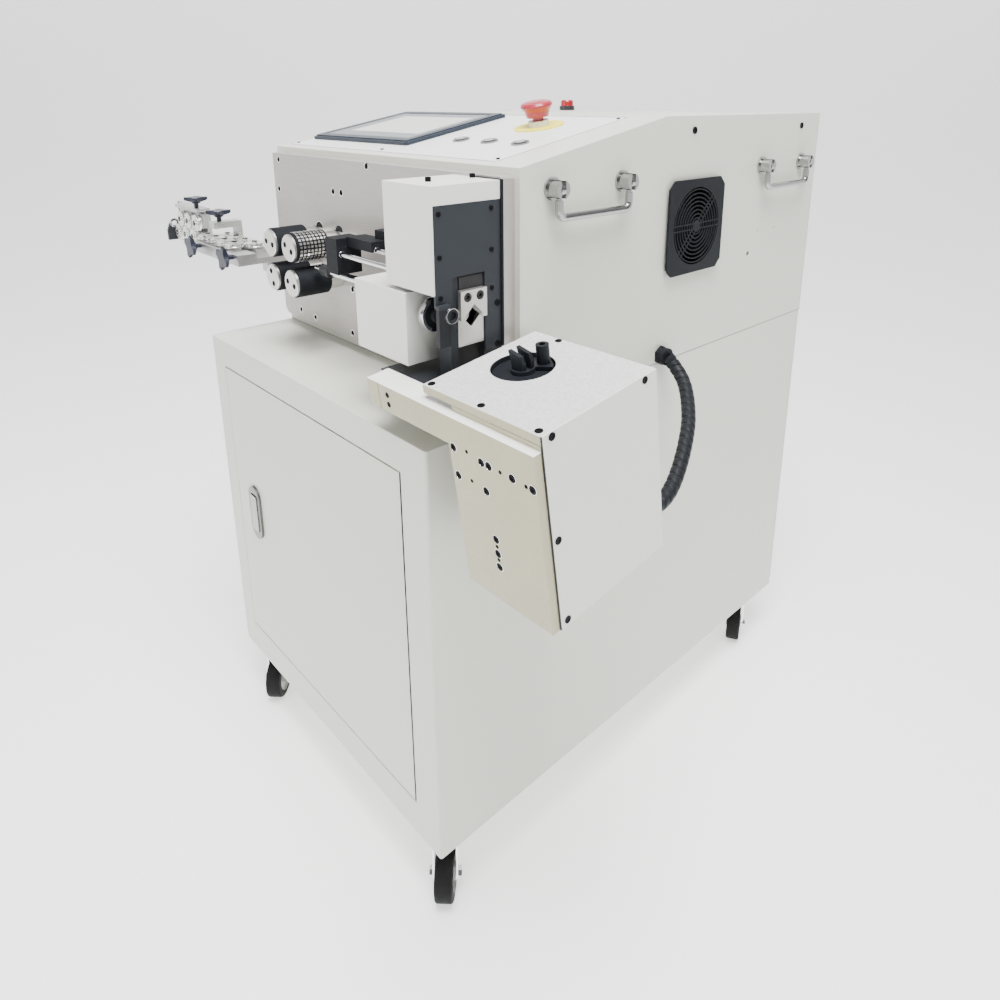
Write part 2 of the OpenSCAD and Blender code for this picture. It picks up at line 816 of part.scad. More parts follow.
module fan_guard() {
    fan_t = 25;
    back = -sheet - fan_t;
    color([0.12, 0.12, 0.13]) at_machine() translate([0, fan_y, fan_z]) {
        union() {
            facing_right(guard_t - 3, 3) guard_outline();
            facing_right(0, guard_t - 3) difference() {
                rotate(0) square(guard_s - 20, center = true);
                circle(fan_r - 1);
            }
        }
        union() {
            difference() {
                block([back, -fan_s / 2, -fan_s / 2], [-sheet, fan_s / 2, fan_s / 2]);
                rod_x([back - cut, 0, 0], fan_r, fan_t + 2 * cut);
            }
            rod_x([back, 0, 0], 16, 6);
            for (a = [30:120:270]) rotate([a, 0, 0]) block([back, -3, 0], [back + 3, 3, fan_r + 1]);
            rod_x([back, 0, 0], 3, fan_t - 4);
        }
    }
}

module fan_rotor() {
    back = -sheet - 25;
    color([0.18, 0.18, 0.19]) at_machine() translate([0, fan_y, fan_z]) difference() {
        union() {
            rod_x([back + 6.5, 0, 0], 20, 15);
            for (i = [0:fan_blades - 1]) rotate([i * 360 / fan_blades, 0, 0])
                translate([back + 14, 0, 18]) rotate([0, 0, 52])
                block([-1, -11, 0], [1, 11, fan_r - 20]);
        }
        rod_x([back, 0, 0], 3 + fit, 23);
    }
}

module mains_inlet() {
    w = inlet_size[0];
    h = inlet_size[1];
    color([0.1, 0.1, 0.11]) at_machine() union() {
        translate([inlet_x, 0, inlet_z]) difference() {
            union() {
                block([-w / 2 - 10, cab_d, -h / 2 - 4], [w / 2 + 10, cab_d + 3, h / 2 + 4]);
                block([-w / 2, cab_d - 24, -h / 2], [w / 2, cab_d, h / 2]);
            }
            block([-w / 2 + 2, cab_d - 18, -h / 2 + 2], [w / 2 - 2, cab_d + 4, h / 2 - 2]);
        }
        for (x = [-7, 0, 7]) translate([inlet_x + x, cab_d - 18.5, inlet_z + (x == 0 ? 3 : -2)])
            block([-1, 0, -2], [1, 12, 2]);
    }
}

// Plain through holes of the front plate as [x, height above the plate's foot]
plate_holes = [
    [plate_x0 + 21, 263], [plate_x1 - 281, 268], [plate_x0 + 14, 215], [plate_x1 - 377, 225],
    [plate_x1 - 354, 225], [plate_x0 + 57, 15], [plate_x0 + 105, 11], [plate_x1 - 339, 81],
    [plate_x1 - 347, 10], [plate_x1 - 111, 262],
];

module front_plate() {
    r = 4;
    chop = 10;
    color([0.78, 0.78, 0.76]) at_machine() difference() {
        facing_front(plate_y, plate_t) difference() {
            translate([plate_x0, plate_z0]) rounded_rect(plate_w, plate_h, r);
            translate([plate_x0, plate_z0]) polygon([[-1, -1], [chop, -1], [-1, chop]]);
            for (x = roller_xs) {
                translate([x, roller_low_z]) circle(shaft_r + fit);
                translate([x, roller_top_z + (roller_open - roller_close) / 2])
                    stadium(2 * slot_r, 2 * slot_r + roller_open + roller_close);
            }
            for (p = plate_holes) translate([p[0], plate_z0 + p[1]]) circle(3.4);
        }
    }
}

// Roller with its end cap, drum, boss and shaft, turned as one round profile, and two sockets
module feed_roller(x, z, turn) {
    cap_r0 = roller_r - 2;
    boss_r = roller_r - 5;
    color([0.13, 0.13, 0.14]) at_machine() translate([x, 0, z]) rotate([-90, 0, 0]) difference() {
        rotate_extrude() polygon([
            [0, drum_y0 - cap_t], [cap_r0 - 1, drum_y0 - cap_t], [cap_r0, drum_y0 - cap_t + 1],
            [cap_r0, drum_y0], [roller_r - 1, drum_y0], [roller_r, drum_y0 + 1],
            [roller_r, drum_y1 - 1], [roller_r - 1, drum_y1], [boss_r, drum_y1],
            [boss_r, plate_y - 1], [shaft_r, plate_y - 1], [shaft_r, shaft_end],
            [0, shaft_end]]);
        for (a = [0, 180]) rotate(turn + a)
            translate([cap_r0 / 2, 0, drum_y0 - cap_t - cut]) cylinder(r = 2.8, h = 5);
    }
}

carriage_y0 = house_set + sheet + 2;
carriage_y1 = carriage_y0 + 36;
post_r = 7;
post_x = roller_pitch / 2 + shaft_r + 16;

module roller_carriage() {
    x0 = -roller_side - post_x - 14;
    x1 = -roller_side + post_x + 14;
    z = roller_top_z;
    color("dimgray") at_machine() difference() {
        block([x0, carriage_y0, z - shaft_r - 8], [x1, carriage_y1, z + shaft_r + 8]);
        for (x = roller_xs) rod_y([x, carriage_y0 - cut, z], shaft_r + fit, 36 + 2 * cut);
        for (s = [-1, 1]) rod_z([-roller_side + s * post_x, carriage_y0 + 18, z - 40],
                                post_r + fit, 80);
    }
}

module drive_frame() {
    z = roller_top_z;
    frame_y = carriage_y1 + 4;
    x0 = -roller_side - post_x - 14;
    x1 = -roller_side + post_x + 14;
    post_z0 = z - shaft_r - 8 - 12;
    post_z1 = z + shaft_r + 8 + roller_open + 6;
    motor = 86;
    color("slategray") at_machine() {
        union() {
            block([x0, house_set, post_z0 - 12], [x1, frame_y, post_z0]);
            block([x0, house_set, post_z1], [x1, frame_y, post_z1 + 12]);
            for (s = [-1, 1])
                rod_z([-roller_side + s * post_x, carriage_y0 + 18, post_z0], post_r,
                      post_z1 - post_z0);
        }
        for (x = [-roller_side, head_x0 + 40]) union() {
            block([x - motor / 2, shaft_end + 30, cab_top], [x + motor / 2, shaft_end + 110,
                                                            cab_top + motor]);
            rod_y([x, shaft_end + 8, cab_top + motor / 2], 7, 22);
            rod_y([x, shaft_end + 4, cab_top + motor / 2], 18, 12);
        }
    }
}

side_plate_z0 = wire_z - 44;
window_z = wire_z + 50;
window_y0 = wire_y - blade_w / 2 - 8;
window_y1 = wire_y + blade_w / 2 - 6;
holder_z = wire_z + 31;
wire_hole_r = 5;

module head_body() {
    leg_z = head_low - 15;
    right_leg = channel_y1 + 2;
    color([0.28, 0.29, 0.3]) at_machine() {
        union() {
            difference() {
                union() {
                    block([block_x0, channel_y0 - 12, base_z1],
                          [head_x1 - cover_t, plate_y, head_top - 24]);
                    block([head_x0 + 6, channel_y0 + 6, head_low],
                          [block_x0, plate_y, head_top - 24]);
                }
                block([channel_x0, channel_y0, base_z1 - cut],
                      [head_x1, channel_y1, head_top - 40]);
                block([low_blade_x - run_gap, wire_y - blade_w / 2 - run_gap, base_z1 - cut],
                      [head_x1, wire_y + blade_w / 2 + run_gap,
                       wire_z + blade_tip + blade_travel + 1]);
                rod_x([block_x0 - cut, wire_y, wire_z], wire_hole_r, 6);
            }
            facing_right(head_x1 - cover_t, cover_t) polygon([
                [head_y0 + cover_t, head_top - 21], [plate_y, head_top - 21],
                [plate_y, side_plate_z0], [right_leg, side_plate_z0], [right_leg, window_z],
                [window_y0, window_z], [window_y0, leg_z], [head_y0 + cover_t, leg_z]]);
            block([head_x0 + 6, channel_y0 - 6, head_low + 4],
                  [block_x0, channel_y0 + 6, head_top - 40]);
        }
        union() {
            difference() {
                block([head_x0 - 8, bend_y, base_z1 - base_t], [bend_x - 5, plate_y, base_z1]);
                on_bend() block([-arm_l - 40, -80, -80], [40, arm_deep, 40]);
            }
        }
        union() {
            block([head_x1, head_y0 + cover_t, side_plate_z0 + 18],
                  [head_x1 + 6, head_y0 + 19, leg_z + 4]);
            difference() {
                rod_x([head_x1 + 1, head_y0 + 20, wire_z + 9], 9, 7);
                rod_x([head_x1 + 5, head_y0 + 20, wire_z + 9], 5, 4);
            }
        }
        union() {
            rod_x([block_x0 - 14, wire_y - 26, wire_z + 1], 20, 8);
            rod_x([block_x0 - 6, wire_y - 26, wire_z + 1], 9, 6);
        }
    }
}

module head_covers() {
    color("whitesmoke") at_machine() {
        difference() {
            block([head_x0, head_y0, head_low], [head_x1, plate_y, head_top]);
            block([head_x0 + cover_t, head_y0 + cover_t, head_low - cut],
                  [head_x1 - cover_t, plate_y + cut, head_top - cover_t]);
            block([head_x1 - cover_t - cut, head_y0 + cover_t, head_low - cut],
                  [head_x1 + cut, plate_y + cut, head_top - 21]);
        }
        difference() {
            block([low_x0, head_y0 - 2, low_z1 - low_h], [low_x1, plate_y, low_z1]);
            block([low_x0 + cover_t, head_y0 - 2 + cover_t, low_z1 - low_h + cover_t],
                  [low_x1 - cover_t, plate_y + cut, low_z1 - cover_t]);
            rod_x([low_x0 - cut, wire_y, wire_z], tube_d / 2 + run_gap, cover_t + 2 * cut);
            rod_x([low_x1 - cover_t - cut, wire_y, wire_z], tube_d / 2 + run_gap, cover_t + 2 * cut);
        }
    }
}

// V-blade in y and z, with its 45 degree notch on the wire, pointing up or down by s
module blade_outline(s) {
    w = blade_w / 2;
    n = v_half + blade_tip;
    tip = -s * blade_tip;
    polygon([[-w, tip], [-n, tip], [0, s * v_half], [n, tip], [w, tip],
             [w, s * blade_top], [-w, s * blade_top]]);
}

// Grinding of a notch from its land at x towards the outer face: its own prism, tilted
module notch_bevel(x, s, out) {
    reach = 40;
    translate([x + out * blade_land, wire_y, wire_z + s * v_half])
        rotate([0, -out * s * blade_bevel, 0]) facing_right(out > 0 ? -2 : -14, 16)
        polygon([[0, 0], [reach, -s * reach * cos(blade_bevel)],
                 [-reach, -s * reach * cos(blade_bevel)]]);
}

blade_screw_r = 5.6;

module upper_blade() {
    color("silver") at_machine() {
        union() {
            difference() {
                facing_right(blade_x - blade_t, blade_t) translate([wire_y, wire_z]) blade_outline(1);
                notch_bevel(blade_x - blade_t, 1, 1);
                for (s = [-1, 1]) translate([blade_x - 1.2, wire_y + s * 9, wire_z + 25]) {
                    difference() {
                        rod_x([0, 0, 0], blade_screw_r, 3);
                        rod_x([-1, 0, 0], blade_screw_r - 0.8, 5);
                    }
                    rotate([0, 90, 0]) translate([0, 0, -1]) cylinder(r = 2.8, h = 4, $fn = 6);
                }
            }
            block([channel_x0 + run_gap, channel_y0 + run_gap, holder_z],
                  [head_x1 - cover_t - run_gap, channel_y1 - run_gap, wire_z + 84]);
            block([channel_x0 + run_gap, channel_y0 + run_gap, holder_z],
                  [blade_x - blade_t, channel_y1 - run_gap, window_z - 2]);
        }
    }
}

module lower_blade() {
    color("silver") at_machine() union() {
        difference() {
            facing_right(low_blade_x, blade_t) translate([wire_y, wire_z]) blade_outline(-1);
            notch_bevel(low_blade_x + blade_t, -1, -1);
        }
        block([channel_x0 + run_gap, channel_y0 + run_gap, base_z1 + blade_gap],
              [low_blade_x, channel_y1 - run_gap, wire_z - 30]);
    }
}

module wire_guide() {
    rod_len = head_x0 - block_x;
    color([0.13, 0.13, 0.14]) at_machine() {
        difference() {
            union() {
                block([block_x - 30, wire_y - 16, wire_z + tube_d / 2 + run_gap],
                      [block_x, wire_y + 22, wire_z + 56]);
                block([block_x, wire_y, wire_z + 44], [block_x + 62, wire_y + 30, wire_z + 58]);
                block([block_x + 40, wire_y + 20, wire_z + 44],
                      [block_x + 62, plate_y, wire_z + 70]);
            }
            for (z = rod_zs) rod_x([block_x - 31, wire_y + (z - rod_mid) * 1.4, wire_z + z],
                                   rod_d / 2, 40);
        }
        for (z = rod_zs)
            rod_x([block_x - 24, wire_y + (z - rod_mid) * 1.4, wire_z + z], rod_d / 2, rod_len + 24);
    }
}

module guide_tube() {
    r = tube_d / 2;
    color("silver") at_machine() translate([0, wire_y, wire_z]) rotate([0, 90, 0])
        rotate_extrude() polygon([
            [tube_bore / 2, tube_x0 - 40], [tube_bore / 2 + 2, tube_x0 - 40],
            [r + 2, tube_x0 - 24], [r + 3, tube_x0 - 22], [r + 3, tube_x0], [r, tube_x0],
            [r, tube_x1], [tube_bore / 2, tube_x1]]);
}

// Idler wheel on its stud, with its axis along z
module idler() {
    union() {
        difference() {
            cylinder(r = idler_r, h = idler_t, center = true);
            for (s = [-1, 1]) translate([0, 0, s * idler_t / 2])
                rotate_extrude() translate([idler_r - 5, 0]) square([1.2, 1], center = true);
            rotate_extrude() translate([idler_r - groove_deep, 0]) polygon([
                [0, 0], [groove_deep + cut, -groove_deep - cut],
                [groove_deep + cut, groove_deep + cut]]);
        }
        difference() {
            translate([0, 0, idler_t / 2]) cylinder(r = stud_r, h = 2.5);
            translate([0, 0, idler_t / 2 + 1]) cylinder(r = 2, h = 2, $fn = 6);
        }
        translate([0, 0, -idler_t / 2 - stud_foot]) cylinder(r = stud_r, h = stud_foot + 0.5);
    }
}

arm_x0 = flat_near_xs[3] - 22;
arm_x1 = flat_far_xs[0] + 20;
slide_y1 = wire_y - row_off + 7;
slide_y0 = slide_y1 - 22;
slide_front = slide_y0 - adjust_travel - 1;
lip_y = slide_front - lip_t;
far_y = wire_y + row_off;
bridge_x = flat_x - 109;
bridge_z = wire_z + 18;
bridge_t = 11;

module straightener_frame() {
    color([0.75, 0.75, 0.74]) at_machine() {
        union() {
            block([arm_x0, lip_y, rail_z], [plate_x0 + 24, far_y + 14, slide_z]);
            block([arm_x0, lip_y, slide_z], [arm_x1, slide_front, slide_z + slide_t]);
            block([arm_x1 - 6, lip_y, slide_z], [plate_x0 + 24, slide_y1, slide_z + slide_t]);
            block([arm_x0, far_y - 8, slide_z], [arm_x1, far_y + 14, slide_z + slide_t]);
            block([plate_x0 + 4, wire_y + 10, rail_z - 16], [plate_x0 + 24, plate_y, slide_z]);
            for (x = flat_far_xs) translate([x, far_y, wire_z]) idler();
            block([bridge_x - 12, far_y + 14, rail_z], [bridge_x + 12, far_y + 22, bridge_z]);
            block([bridge_x - 12, wire_y - 14, bridge_z],
                  [bridge_x + 12, far_y + 22, bridge_z + bridge_t]);
        }
        union() {
            low = wire_z - row_off;
            block([tall_x0, back_y, low - idler_r - 4], [tall_x1, back_y + 2 * back_t, wire_z - 4]);
            block([tall_x0, back_y + back_t, wire_z - 4],
                  [tall_x1, back_y + 2 * back_t, tall_lip_z + lip_t]);
            block([tall_top_xs[2] - 18, back_y - 10, tall_lip_z],
                  [tall_top_xs[0] + 18, back_y + back_t + cut, tall_lip_z + lip_t]);
            block([tall_x1 - 20, back_y, rail_z], [arm_x0 + 30, back_y + 2 * back_t, slide_z - 1]);
            block([tall_x1 - 20, back_y, rail_z], [arm_x0, back_y + 2 * back_t, slide_z + slide_t]);
            facing_right(tall_x0, end_t) difference() {
                union() {
                    translate([wire_y, wire_z]) circle(wire_eye_r);
                    polygon([[wire_y - wire_eye_r, wire_z], [wire_y - 14, low],
                             [wire_y - 14, low - idler_r - 4], [back_y + back_t, low - idler_r - 4],
                             [back_y + back_t, wire_z + 6], [wire_y, wire_z + 6]]);
                }
                translate([wire_y, wire_z]) circle(4.5);
            }
            for (x = tall_low_xs) translate([x, wire_y, low]) rotate([90, 0, 0]) idler();
        }
    }
}

// Adjustable row of the flat group, which slides across the wire
module straightener_slide_h() {
    color([0.75, 0.75, 0.74]) at_machine() union() {
        block([flat_near_xs[3] - 14, slide_y0, slide_z],
              [flat_near_xs[0] + 12, slide_y1, slide_z + slide_t]);
        for (x = flat_near_xs) translate([x, wire_y - row_off, wire_z]) idler();
    }
}

// Adjustable row of the upright group, which slides up and down
module straightener_slide_v() {
    z0 = wire_z + row_off;
    color([0.75, 0.75, 0.74]) at_machine() union() {
        block([tall_top_xs[2] - 14, back_y, z0 - 10],
              [tall_top_xs[0] + 14, back_y + back_t, tall_lip_z - adjust_travel - 1]);
        for (x = tall_top_xs) translate([x, wire_y, z0]) rotate([90, 0, 0]) idler();
    }
}

knob_r = 21;
knob_waist = 12.5;
knob_stem = 8;
knob_h = 20;

// Wing knob with its stem on the origin, along +z: a bell that four hollows turn into a square
module knob() {
    hollow_r = 15;
    union() {
        cylinder(r = 4, h = knob_stem + 1);
        difference() {
            rotate_extrude() polygon([
                [0, knob_stem], [7, knob_stem], [9, knob_stem + 3], [knob_r - 2, knob_h - 6],
                [knob_r, knob_h - 4], [knob_r, knob_h - 1], [knob_r - 1, knob_h], [0, knob_h]]);
            for (a = [0:90:270]) rotate(a + 20)
                translate([knob_waist + hollow_r, 0, knob_stem - 1])
                cylinder(r = hollow_r, h = knob_h - knob_stem + 2);
        }
    }
}

module knob_h(x) {
    color([0.12, 0.12, 0.15]) at_machine()
        translate([x, lip_y - run_gap, slide_z + slide_t / 2]) rotate([90, 0, 0]) knob();
}

module knob_v(x, y, z) {
    color([0.12, 0.12, 0.15]) at_machine() translate([x, y, z + run_gap]) knob();
}

// Holes of the bracket plate as [x from its right edge, height below its top, radius]
bracket_holes = [
    [-123, -36, 4.2], [-101, -33, 1.8], [-79, -37, 4.2], [-68, -37, 4.2], [-51, -37, 1.8],
    [-34, -37, 4.2], [-15, -38, 1.8], [-6, -38, 4.2], [-121, -69, 4.2], [-99, -67, 1.8],
    [-77, -70, 4.2], [-72, -127, 4.2], [-72, -136, 1.8], [-72, -145, 4.2], [-72, -153, 1.8],
    [-72, -162, 4.2],
];

module bend_bracket() {
    color([0.86, 0.84, 0.76]) at_machine() on_bend() difference() {
        union() {
            facing_front(-bracket_t, bracket_t) union() {
                translate([box_x0, -bend_h]) square([bend_box_w, bend_h + bracket_top]);
                translate([-arm_l, bracket_top - arm_h]) square([box_x0 + arm_l + 1, arm_h]);
            }
            block([-arm_l, -1, bracket_top - arm_h], [box_x0, arm_deep, bracket_top]);
        }
        for (h = bracket_holes)
            rod_y([bend_w + h[0], -bracket_t - cut, bracket_top + h[1]], h[2], bracket_t + 2 * cut);
        for (z = [-11, -23])
            rod_y([-arm_l + 39, -bracket_t - cut, bracket_top + z], 3, bracket_t + 2 * cut);
        block([-arm_l + 21, -bracket_t - cut, bracket_top - arm_h - cut],
              [-arm_l + 22.2, -bracket_t + 2, bracket_top + cut]);
    }
}

module bend_top() {
    color("whitesmoke") at_machine() on_bend() difference() {
        block([0, 0, -top_t], [bend_w, bend_d, 0]);
        rod_z([disc_x, disc_y, -top_t - cut], disc_r + disc_gap, top_t + 2 * cut);
    }
}

module bend_box() {
    gland = [133, -190];
    cup_r = disc_r + disc_gap + 3;
    color("whitesmoke") at_machine() on_bend() difference() {
        union() {
            difference() {
                block([box_x0, 0, -bend_h], [bend_w, bend_d, -top_t]);
                block([box_x0 + sheet, sheet, -bend_h + sheet],
                      [bend_w, bend_d - sheet, -top_t - sheet]);
            }
            block([bend_w, 0, -bend_h], [bend_w + sheet, bend_d, 0]);
            rod_z([disc_x, disc_y, disc_floor - 24], cup_r, 24 - disc_floor - top_t);
        }
        rod_z([disc_x, disc_y, disc_floor], disc_r + disc_gap, -disc_floor);
        rod_y([gland[0], bend_d - sheet - cut, gland[1]], hose_d / 2 - 2, sheet + 2 * cut);
    }
}

jaw_t = 5;
jaw_top = 19;
jaw_foot = -1;
post_r2 = 7.5;
post_at = [24, 62];

module bend_core() {
    color([0.16, 0.16, 0.17]) at_machine() on_bend() translate([disc_x, disc_y, 0]) union() {
        difference() {
            rod_z([0, 0, disc_floor], core_r, jaw_foot - disc_floor);
            rod_z([0, 0, jaw_foot - 2], core_r - 2, 4);
        }
        for (s = [-1, 1]) facing_front(s > 0 ? jaw_gap / 2 : -jaw_gap / 2 - jaw_t, jaw_t)
            polygon([[-9, jaw_foot - 3], [9, jaw_foot - 3], [10, 6], [7, jaw_top - 4],
                     [-12, jaw_top], [-9, 8]]);
    }
}

module bend_rotor() {
    color([0.16, 0.16, 0.17]) at_machine() on_bend() translate([disc_x, disc_y, 0]) difference() {
        union() {
            rod_z([0, 0, disc_floor + run_gap], disc_r, -disc_floor - run_gap - 6);
            rotate(post_at[1]) translate([0, 0, -8]) linear_extrude(7) intersection() {
                circle(disc_r - 2);
                polygon([[0, 0], [60, -34], [60, 34]]);
            }
            rotate(post_at[1]) rod_z([post_at[0], 0, -9], post_r2, 30);
        }
        rod_z([0, 0, disc_floor - cut], core_r + fit, 60);
        rotate(post_at[1]) translate([post_at[0], 0, 17]) cylinder(r = 4, h = 5, $fn = 6);
    }
}

function unit(v) = v / norm(v);
hose_sides = 10;
hose_r = hose_d / 2;
hose_n = len(hose_route);

// Direction of the route at point i
function hose_dir(i) = unit(hose_route[min(i + 1, hose_n - 1)] - hose_route[max(i - 1, 0)]);

// Ring of points square to the route at point i
function hose_ring(i) = let (
    t = i == 0 ? [1, 0, 0] : i == hose_n - 1 ? unit([0, -cos(bend_tilt), -sin(bend_tilt)]) : hose_dir(i),
    u = unit(cross([0, 0, 1], t)),
    v = cross(t, u)
) [for (k = [0:hose_sides - 1]) let (a = 360 * k / hose_sides)
    hose_route[i] + hose_r * (cos(a) * u + sin(a) * v)];

module hose() {
    points = [for (i = [0:hose_n - 1]) each hose_ring(i)];
    walls = [for (i = [0:hose_n - 2], k = [0:hose_sides - 1]) let (n = (k + 1) % hose_sides)
        [i * hose_sides + k, (i + 1) * hose_sides + k, (i + 1) * hose_sides + n,
         i * hose_sides + n]];
    first = [for (k = [0:hose_sides - 1]) k];
    last = [for (k = [hose_sides - 1:-1:0]) (hose_n - 1) * hose_sides + k];
    color([0.1, 0.1, 0.1]) at_machine() polyhedron(points, concat([first], walls, [last]));
}

module gland(l) {
    union() {
        cylinder(r = gland_r + 2, h = l * 0.4, $fn = 6);
        cylinder(r = gland_r, h = l);
    }
}

module hose_glands() {
    end_l = norm(hose_route[hose_n - 1] - gland_seat());
    color([0.12, 0.12, 0.13]) at_machine() {
        translate([0, hose_y, hose_z]) rotate([0, 90, 0]) gland(hose_route[0][0]);
        translate(gland_seat()) rotate([bend_tilt, 0, 0]) rotate([-90, 0, 0]) gland(end_l);
    }
}

// Point on the bending unit's back where the hose goes in
function gland_seat() = let (p = hose_route[hose_n - 1], c = cos(bend_tilt), s = sin(bend_tilt))
    let (d = (p[1] - bend_y) * c + (p[2] - bend_z) * s - bend_d) p - d * [0, c, s];

module fasteners() {
    color([0.2, 0.2, 0.21]) at_machine() {
        for (x = [panel_x0 + 8, (panel_x0 + panel_x1) / 2, panel_x1 - 8])
            on_slope() translate([x, panel_s0 + 10, 0]) screw(2.6, 1.2);
        on_slope() translate([panel_x1 - 8, panel_s1 - 10, 0]) screw(2.6, 1.2);
        on_slope() translate([panel_x0 + 8, panel_s1 - 10, 0]) screw(2.6, 1.2);
        for (y = [486, 803]) translate([0, y, roof_z - 20]) rotate([0, 90, 0]) screw(5, 1.5);
        for (y = [head_y0 + 29, head_y0 + 92])
            translate([(head_x0 + head_x1) / 2 + 3, y, head_top]) screw(3.4, 5);
        for (y = [head_y0 + 10, head_y0 + 84], z = [head_top - 30, head_top - 77, head_top - 122])
            translate([head_x1, y, z]) rotate([0, 90, 0]) screw(3, 0.8);
        for (z = [side_plate_z0 + 4, side_plate_z0 + 54])
            translate([head_x1, plate_y - 9, z]) rotate([0, 90, 0]) screw(4, 1);
        on_bend() {
            for (x = [8, bend_w / 2, bend_w - 8]) translate([x, 7, 0]) screw(4.2, 0.8);
            translate([45, bend_d - 6, 0]) screw(4.2, 0.8);
            for (p = [[13, -5], [150, -5], [8, -118], [10, -bend_h + 8]])
                translate([bend_w + sheet, p[0], p[1]]) rotate([0, 90, 0]) screw(4.2, side_screw_h);
        }
    }
}

cabinet_shell();
cabinet_door();
rear_door();
door_hinges();
latch_body();
latch_lever();
castor_plates();
castor_fork(0);  // castor_fork_fl
castor_fork(1);  // castor_fork_fr
castor_fork(2);  // castor_fork_rl
castor_fork(3);  // castor_fork_rr
castor_wheel(0);  // castor_wheel_fl
castor_wheel(1);  // castor_wheel_fr
castor_wheel(2);  // castor_wheel_rl
castor_wheel(3);  // castor_wheel_rr
upper_housing();
control_panel();
touch_screen();
button(0);  // button_1
button(1);  // button_2
button(2);  // button_3
panel_collars();
estop_head();
signal_lamp();
handle_bosses();
handle(hinge_out, 0);  // handle_front_right
handle(hinge_out, 1);  // handle_rear_right
handle(-cab_w - hinge_out, 0);  // handle_front_left
handle(-cab_w - hinge_out, 1);  // handle_rear_left
fan_guard();
fan_rotor();
mains_inlet();
front_plate();
fasteners();
feed_roller(roller_xs[0], roller_top_z, 10);  // feed_roller_ul
feed_roller(roller_xs[1], roller_top_z, 25);  // feed_roller_ur
feed_roller(roller_xs[0], roller_low_z, 75);  // feed_roller_ll
feed_roller(roller_xs[1], roller_low_z, 15);  // feed_roller_lr
roller_carriage();
drive_frame();
head_body();
head_covers();
upper_blade();
lower_blade();
wire_guide();
guide_tube();
straightener_frame();
straightener_slide_h();
straightener_slide_v();
knob_h(flat_near_xs[2] - 11);  // knob_h1
knob_h((arm_x1 - 6 + plate_x0 + 24) / 2);  // knob_h2
knob_v(tall_top_xs[0] - 8, back_y, tall_lip_z + lip_t);  // knob_v1
knob_v(bridge_x, wire_y, bridge_z + bridge_t);  // knob_v2
bend_bracket();
bend_top();
bend_box();
bend_core();
bend_rotor();
hose();
hose_glands();
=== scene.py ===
# %% [markdown]
# # A wire cutting and bending machine, dressed around its CAD frame
# The imported CAD model gives every rigid form. This lesson gives each form its finish,
# and adds the pieces that are too fine for the CAD: the spiral wrap of the hose, the grip
# pads on a feed roller, the screw heads and their sockets, black arches that paint the shade
# in the tops of two slots, a black strip that paints the shadow behind the head, the joint
# round the control panel and the screen's glass.

# %% Load the frame
import math

import bpy
import numpy as np
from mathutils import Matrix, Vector


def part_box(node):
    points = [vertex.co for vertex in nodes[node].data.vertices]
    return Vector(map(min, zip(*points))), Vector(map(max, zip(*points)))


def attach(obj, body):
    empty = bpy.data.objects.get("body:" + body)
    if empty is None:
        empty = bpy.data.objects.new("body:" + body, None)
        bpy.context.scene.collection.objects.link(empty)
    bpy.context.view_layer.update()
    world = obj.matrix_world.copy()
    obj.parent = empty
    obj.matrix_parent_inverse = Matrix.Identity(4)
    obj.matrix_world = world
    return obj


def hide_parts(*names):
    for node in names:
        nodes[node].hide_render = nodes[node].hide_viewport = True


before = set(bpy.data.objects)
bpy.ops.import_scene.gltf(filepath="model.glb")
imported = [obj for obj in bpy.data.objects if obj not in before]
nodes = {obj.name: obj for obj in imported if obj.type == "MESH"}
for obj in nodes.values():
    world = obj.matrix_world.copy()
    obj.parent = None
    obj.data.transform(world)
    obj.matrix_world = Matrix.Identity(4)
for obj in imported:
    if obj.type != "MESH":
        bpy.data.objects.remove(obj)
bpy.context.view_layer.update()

# %% [markdown]
# All places on the machine are counted in millimetres from one corner: the right side face,
# the cabinet's front face and the floor. The cabinet shell's box says where that corner is.
# Radii are in metres, apart from those of the slot tops and the panel's corners. The wire
# runs to the right, so downstream means to the right.

# %% The machine's own corner
shell_low, shell_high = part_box("cabinet_shell")
RIGHT = shell_high.x
FRONT = shell_low.y
MM = 0.001
UP = (0, 0, 1)
DOWN = (0, 0, -1)
TO_FRONT = (0, -1, 0)
TO_BACK = (0, 1, 0)
DOWNSTREAM = (1, 0, 0)
UPSTREAM = (-1, 0, 0)


def spot(x, y, z):
    """Point in metres: millimetres from the right side, the front face and the floor."""
    return Vector((RIGHT + x * MM, FRONT + y * MM, z * MM))


print("corner", round(RIGHT, 4), round(FRONT, 4))

# %% [markdown]
# The camera stands where the fit to the photograph puts it: in front of the machine, to its
# right and a little above its roof. A small lens shift puts the machine in the same part of
# the picture.

# %% Camera
CAMERA_AT = (621.2, -440.3, 1080.1)
CAMERA_YAW = 46.596
CAMERA_PITCH = 16.051
PICTURE_PX = 1000
FOCAL_PX = 744.25
AXIS_PX = (521.32, 315.0)
SENSOR_MM = 36.0

camera_data = bpy.data.cameras.new("camera")
camera = bpy.data.objects.new("camera", camera_data)
bpy.context.scene.collection.objects.link(camera)
bpy.context.scene.camera = camera
camera.location = spot(*CAMERA_AT)
camera.rotation_euler = (math.radians(90 - CAMERA_PITCH), 0, math.radians(CAMERA_YAW))
camera_data.sensor_width = SENSOR_MM
camera_data.lens = FOCAL_PX * SENSOR_MM / PICTURE_PX
camera_data.shift_x = (PICTURE_PX / 2 - AXIS_PX[0]) / PICTURE_PX
camera_data.shift_y = (AXIS_PX[1] - PICTURE_PX / 2) / PICTURE_PX
camera_data.clip_start = 0.05
camera_data.clip_end = 50
print("camera lens", round(camera_data.lens, 2), "mm")

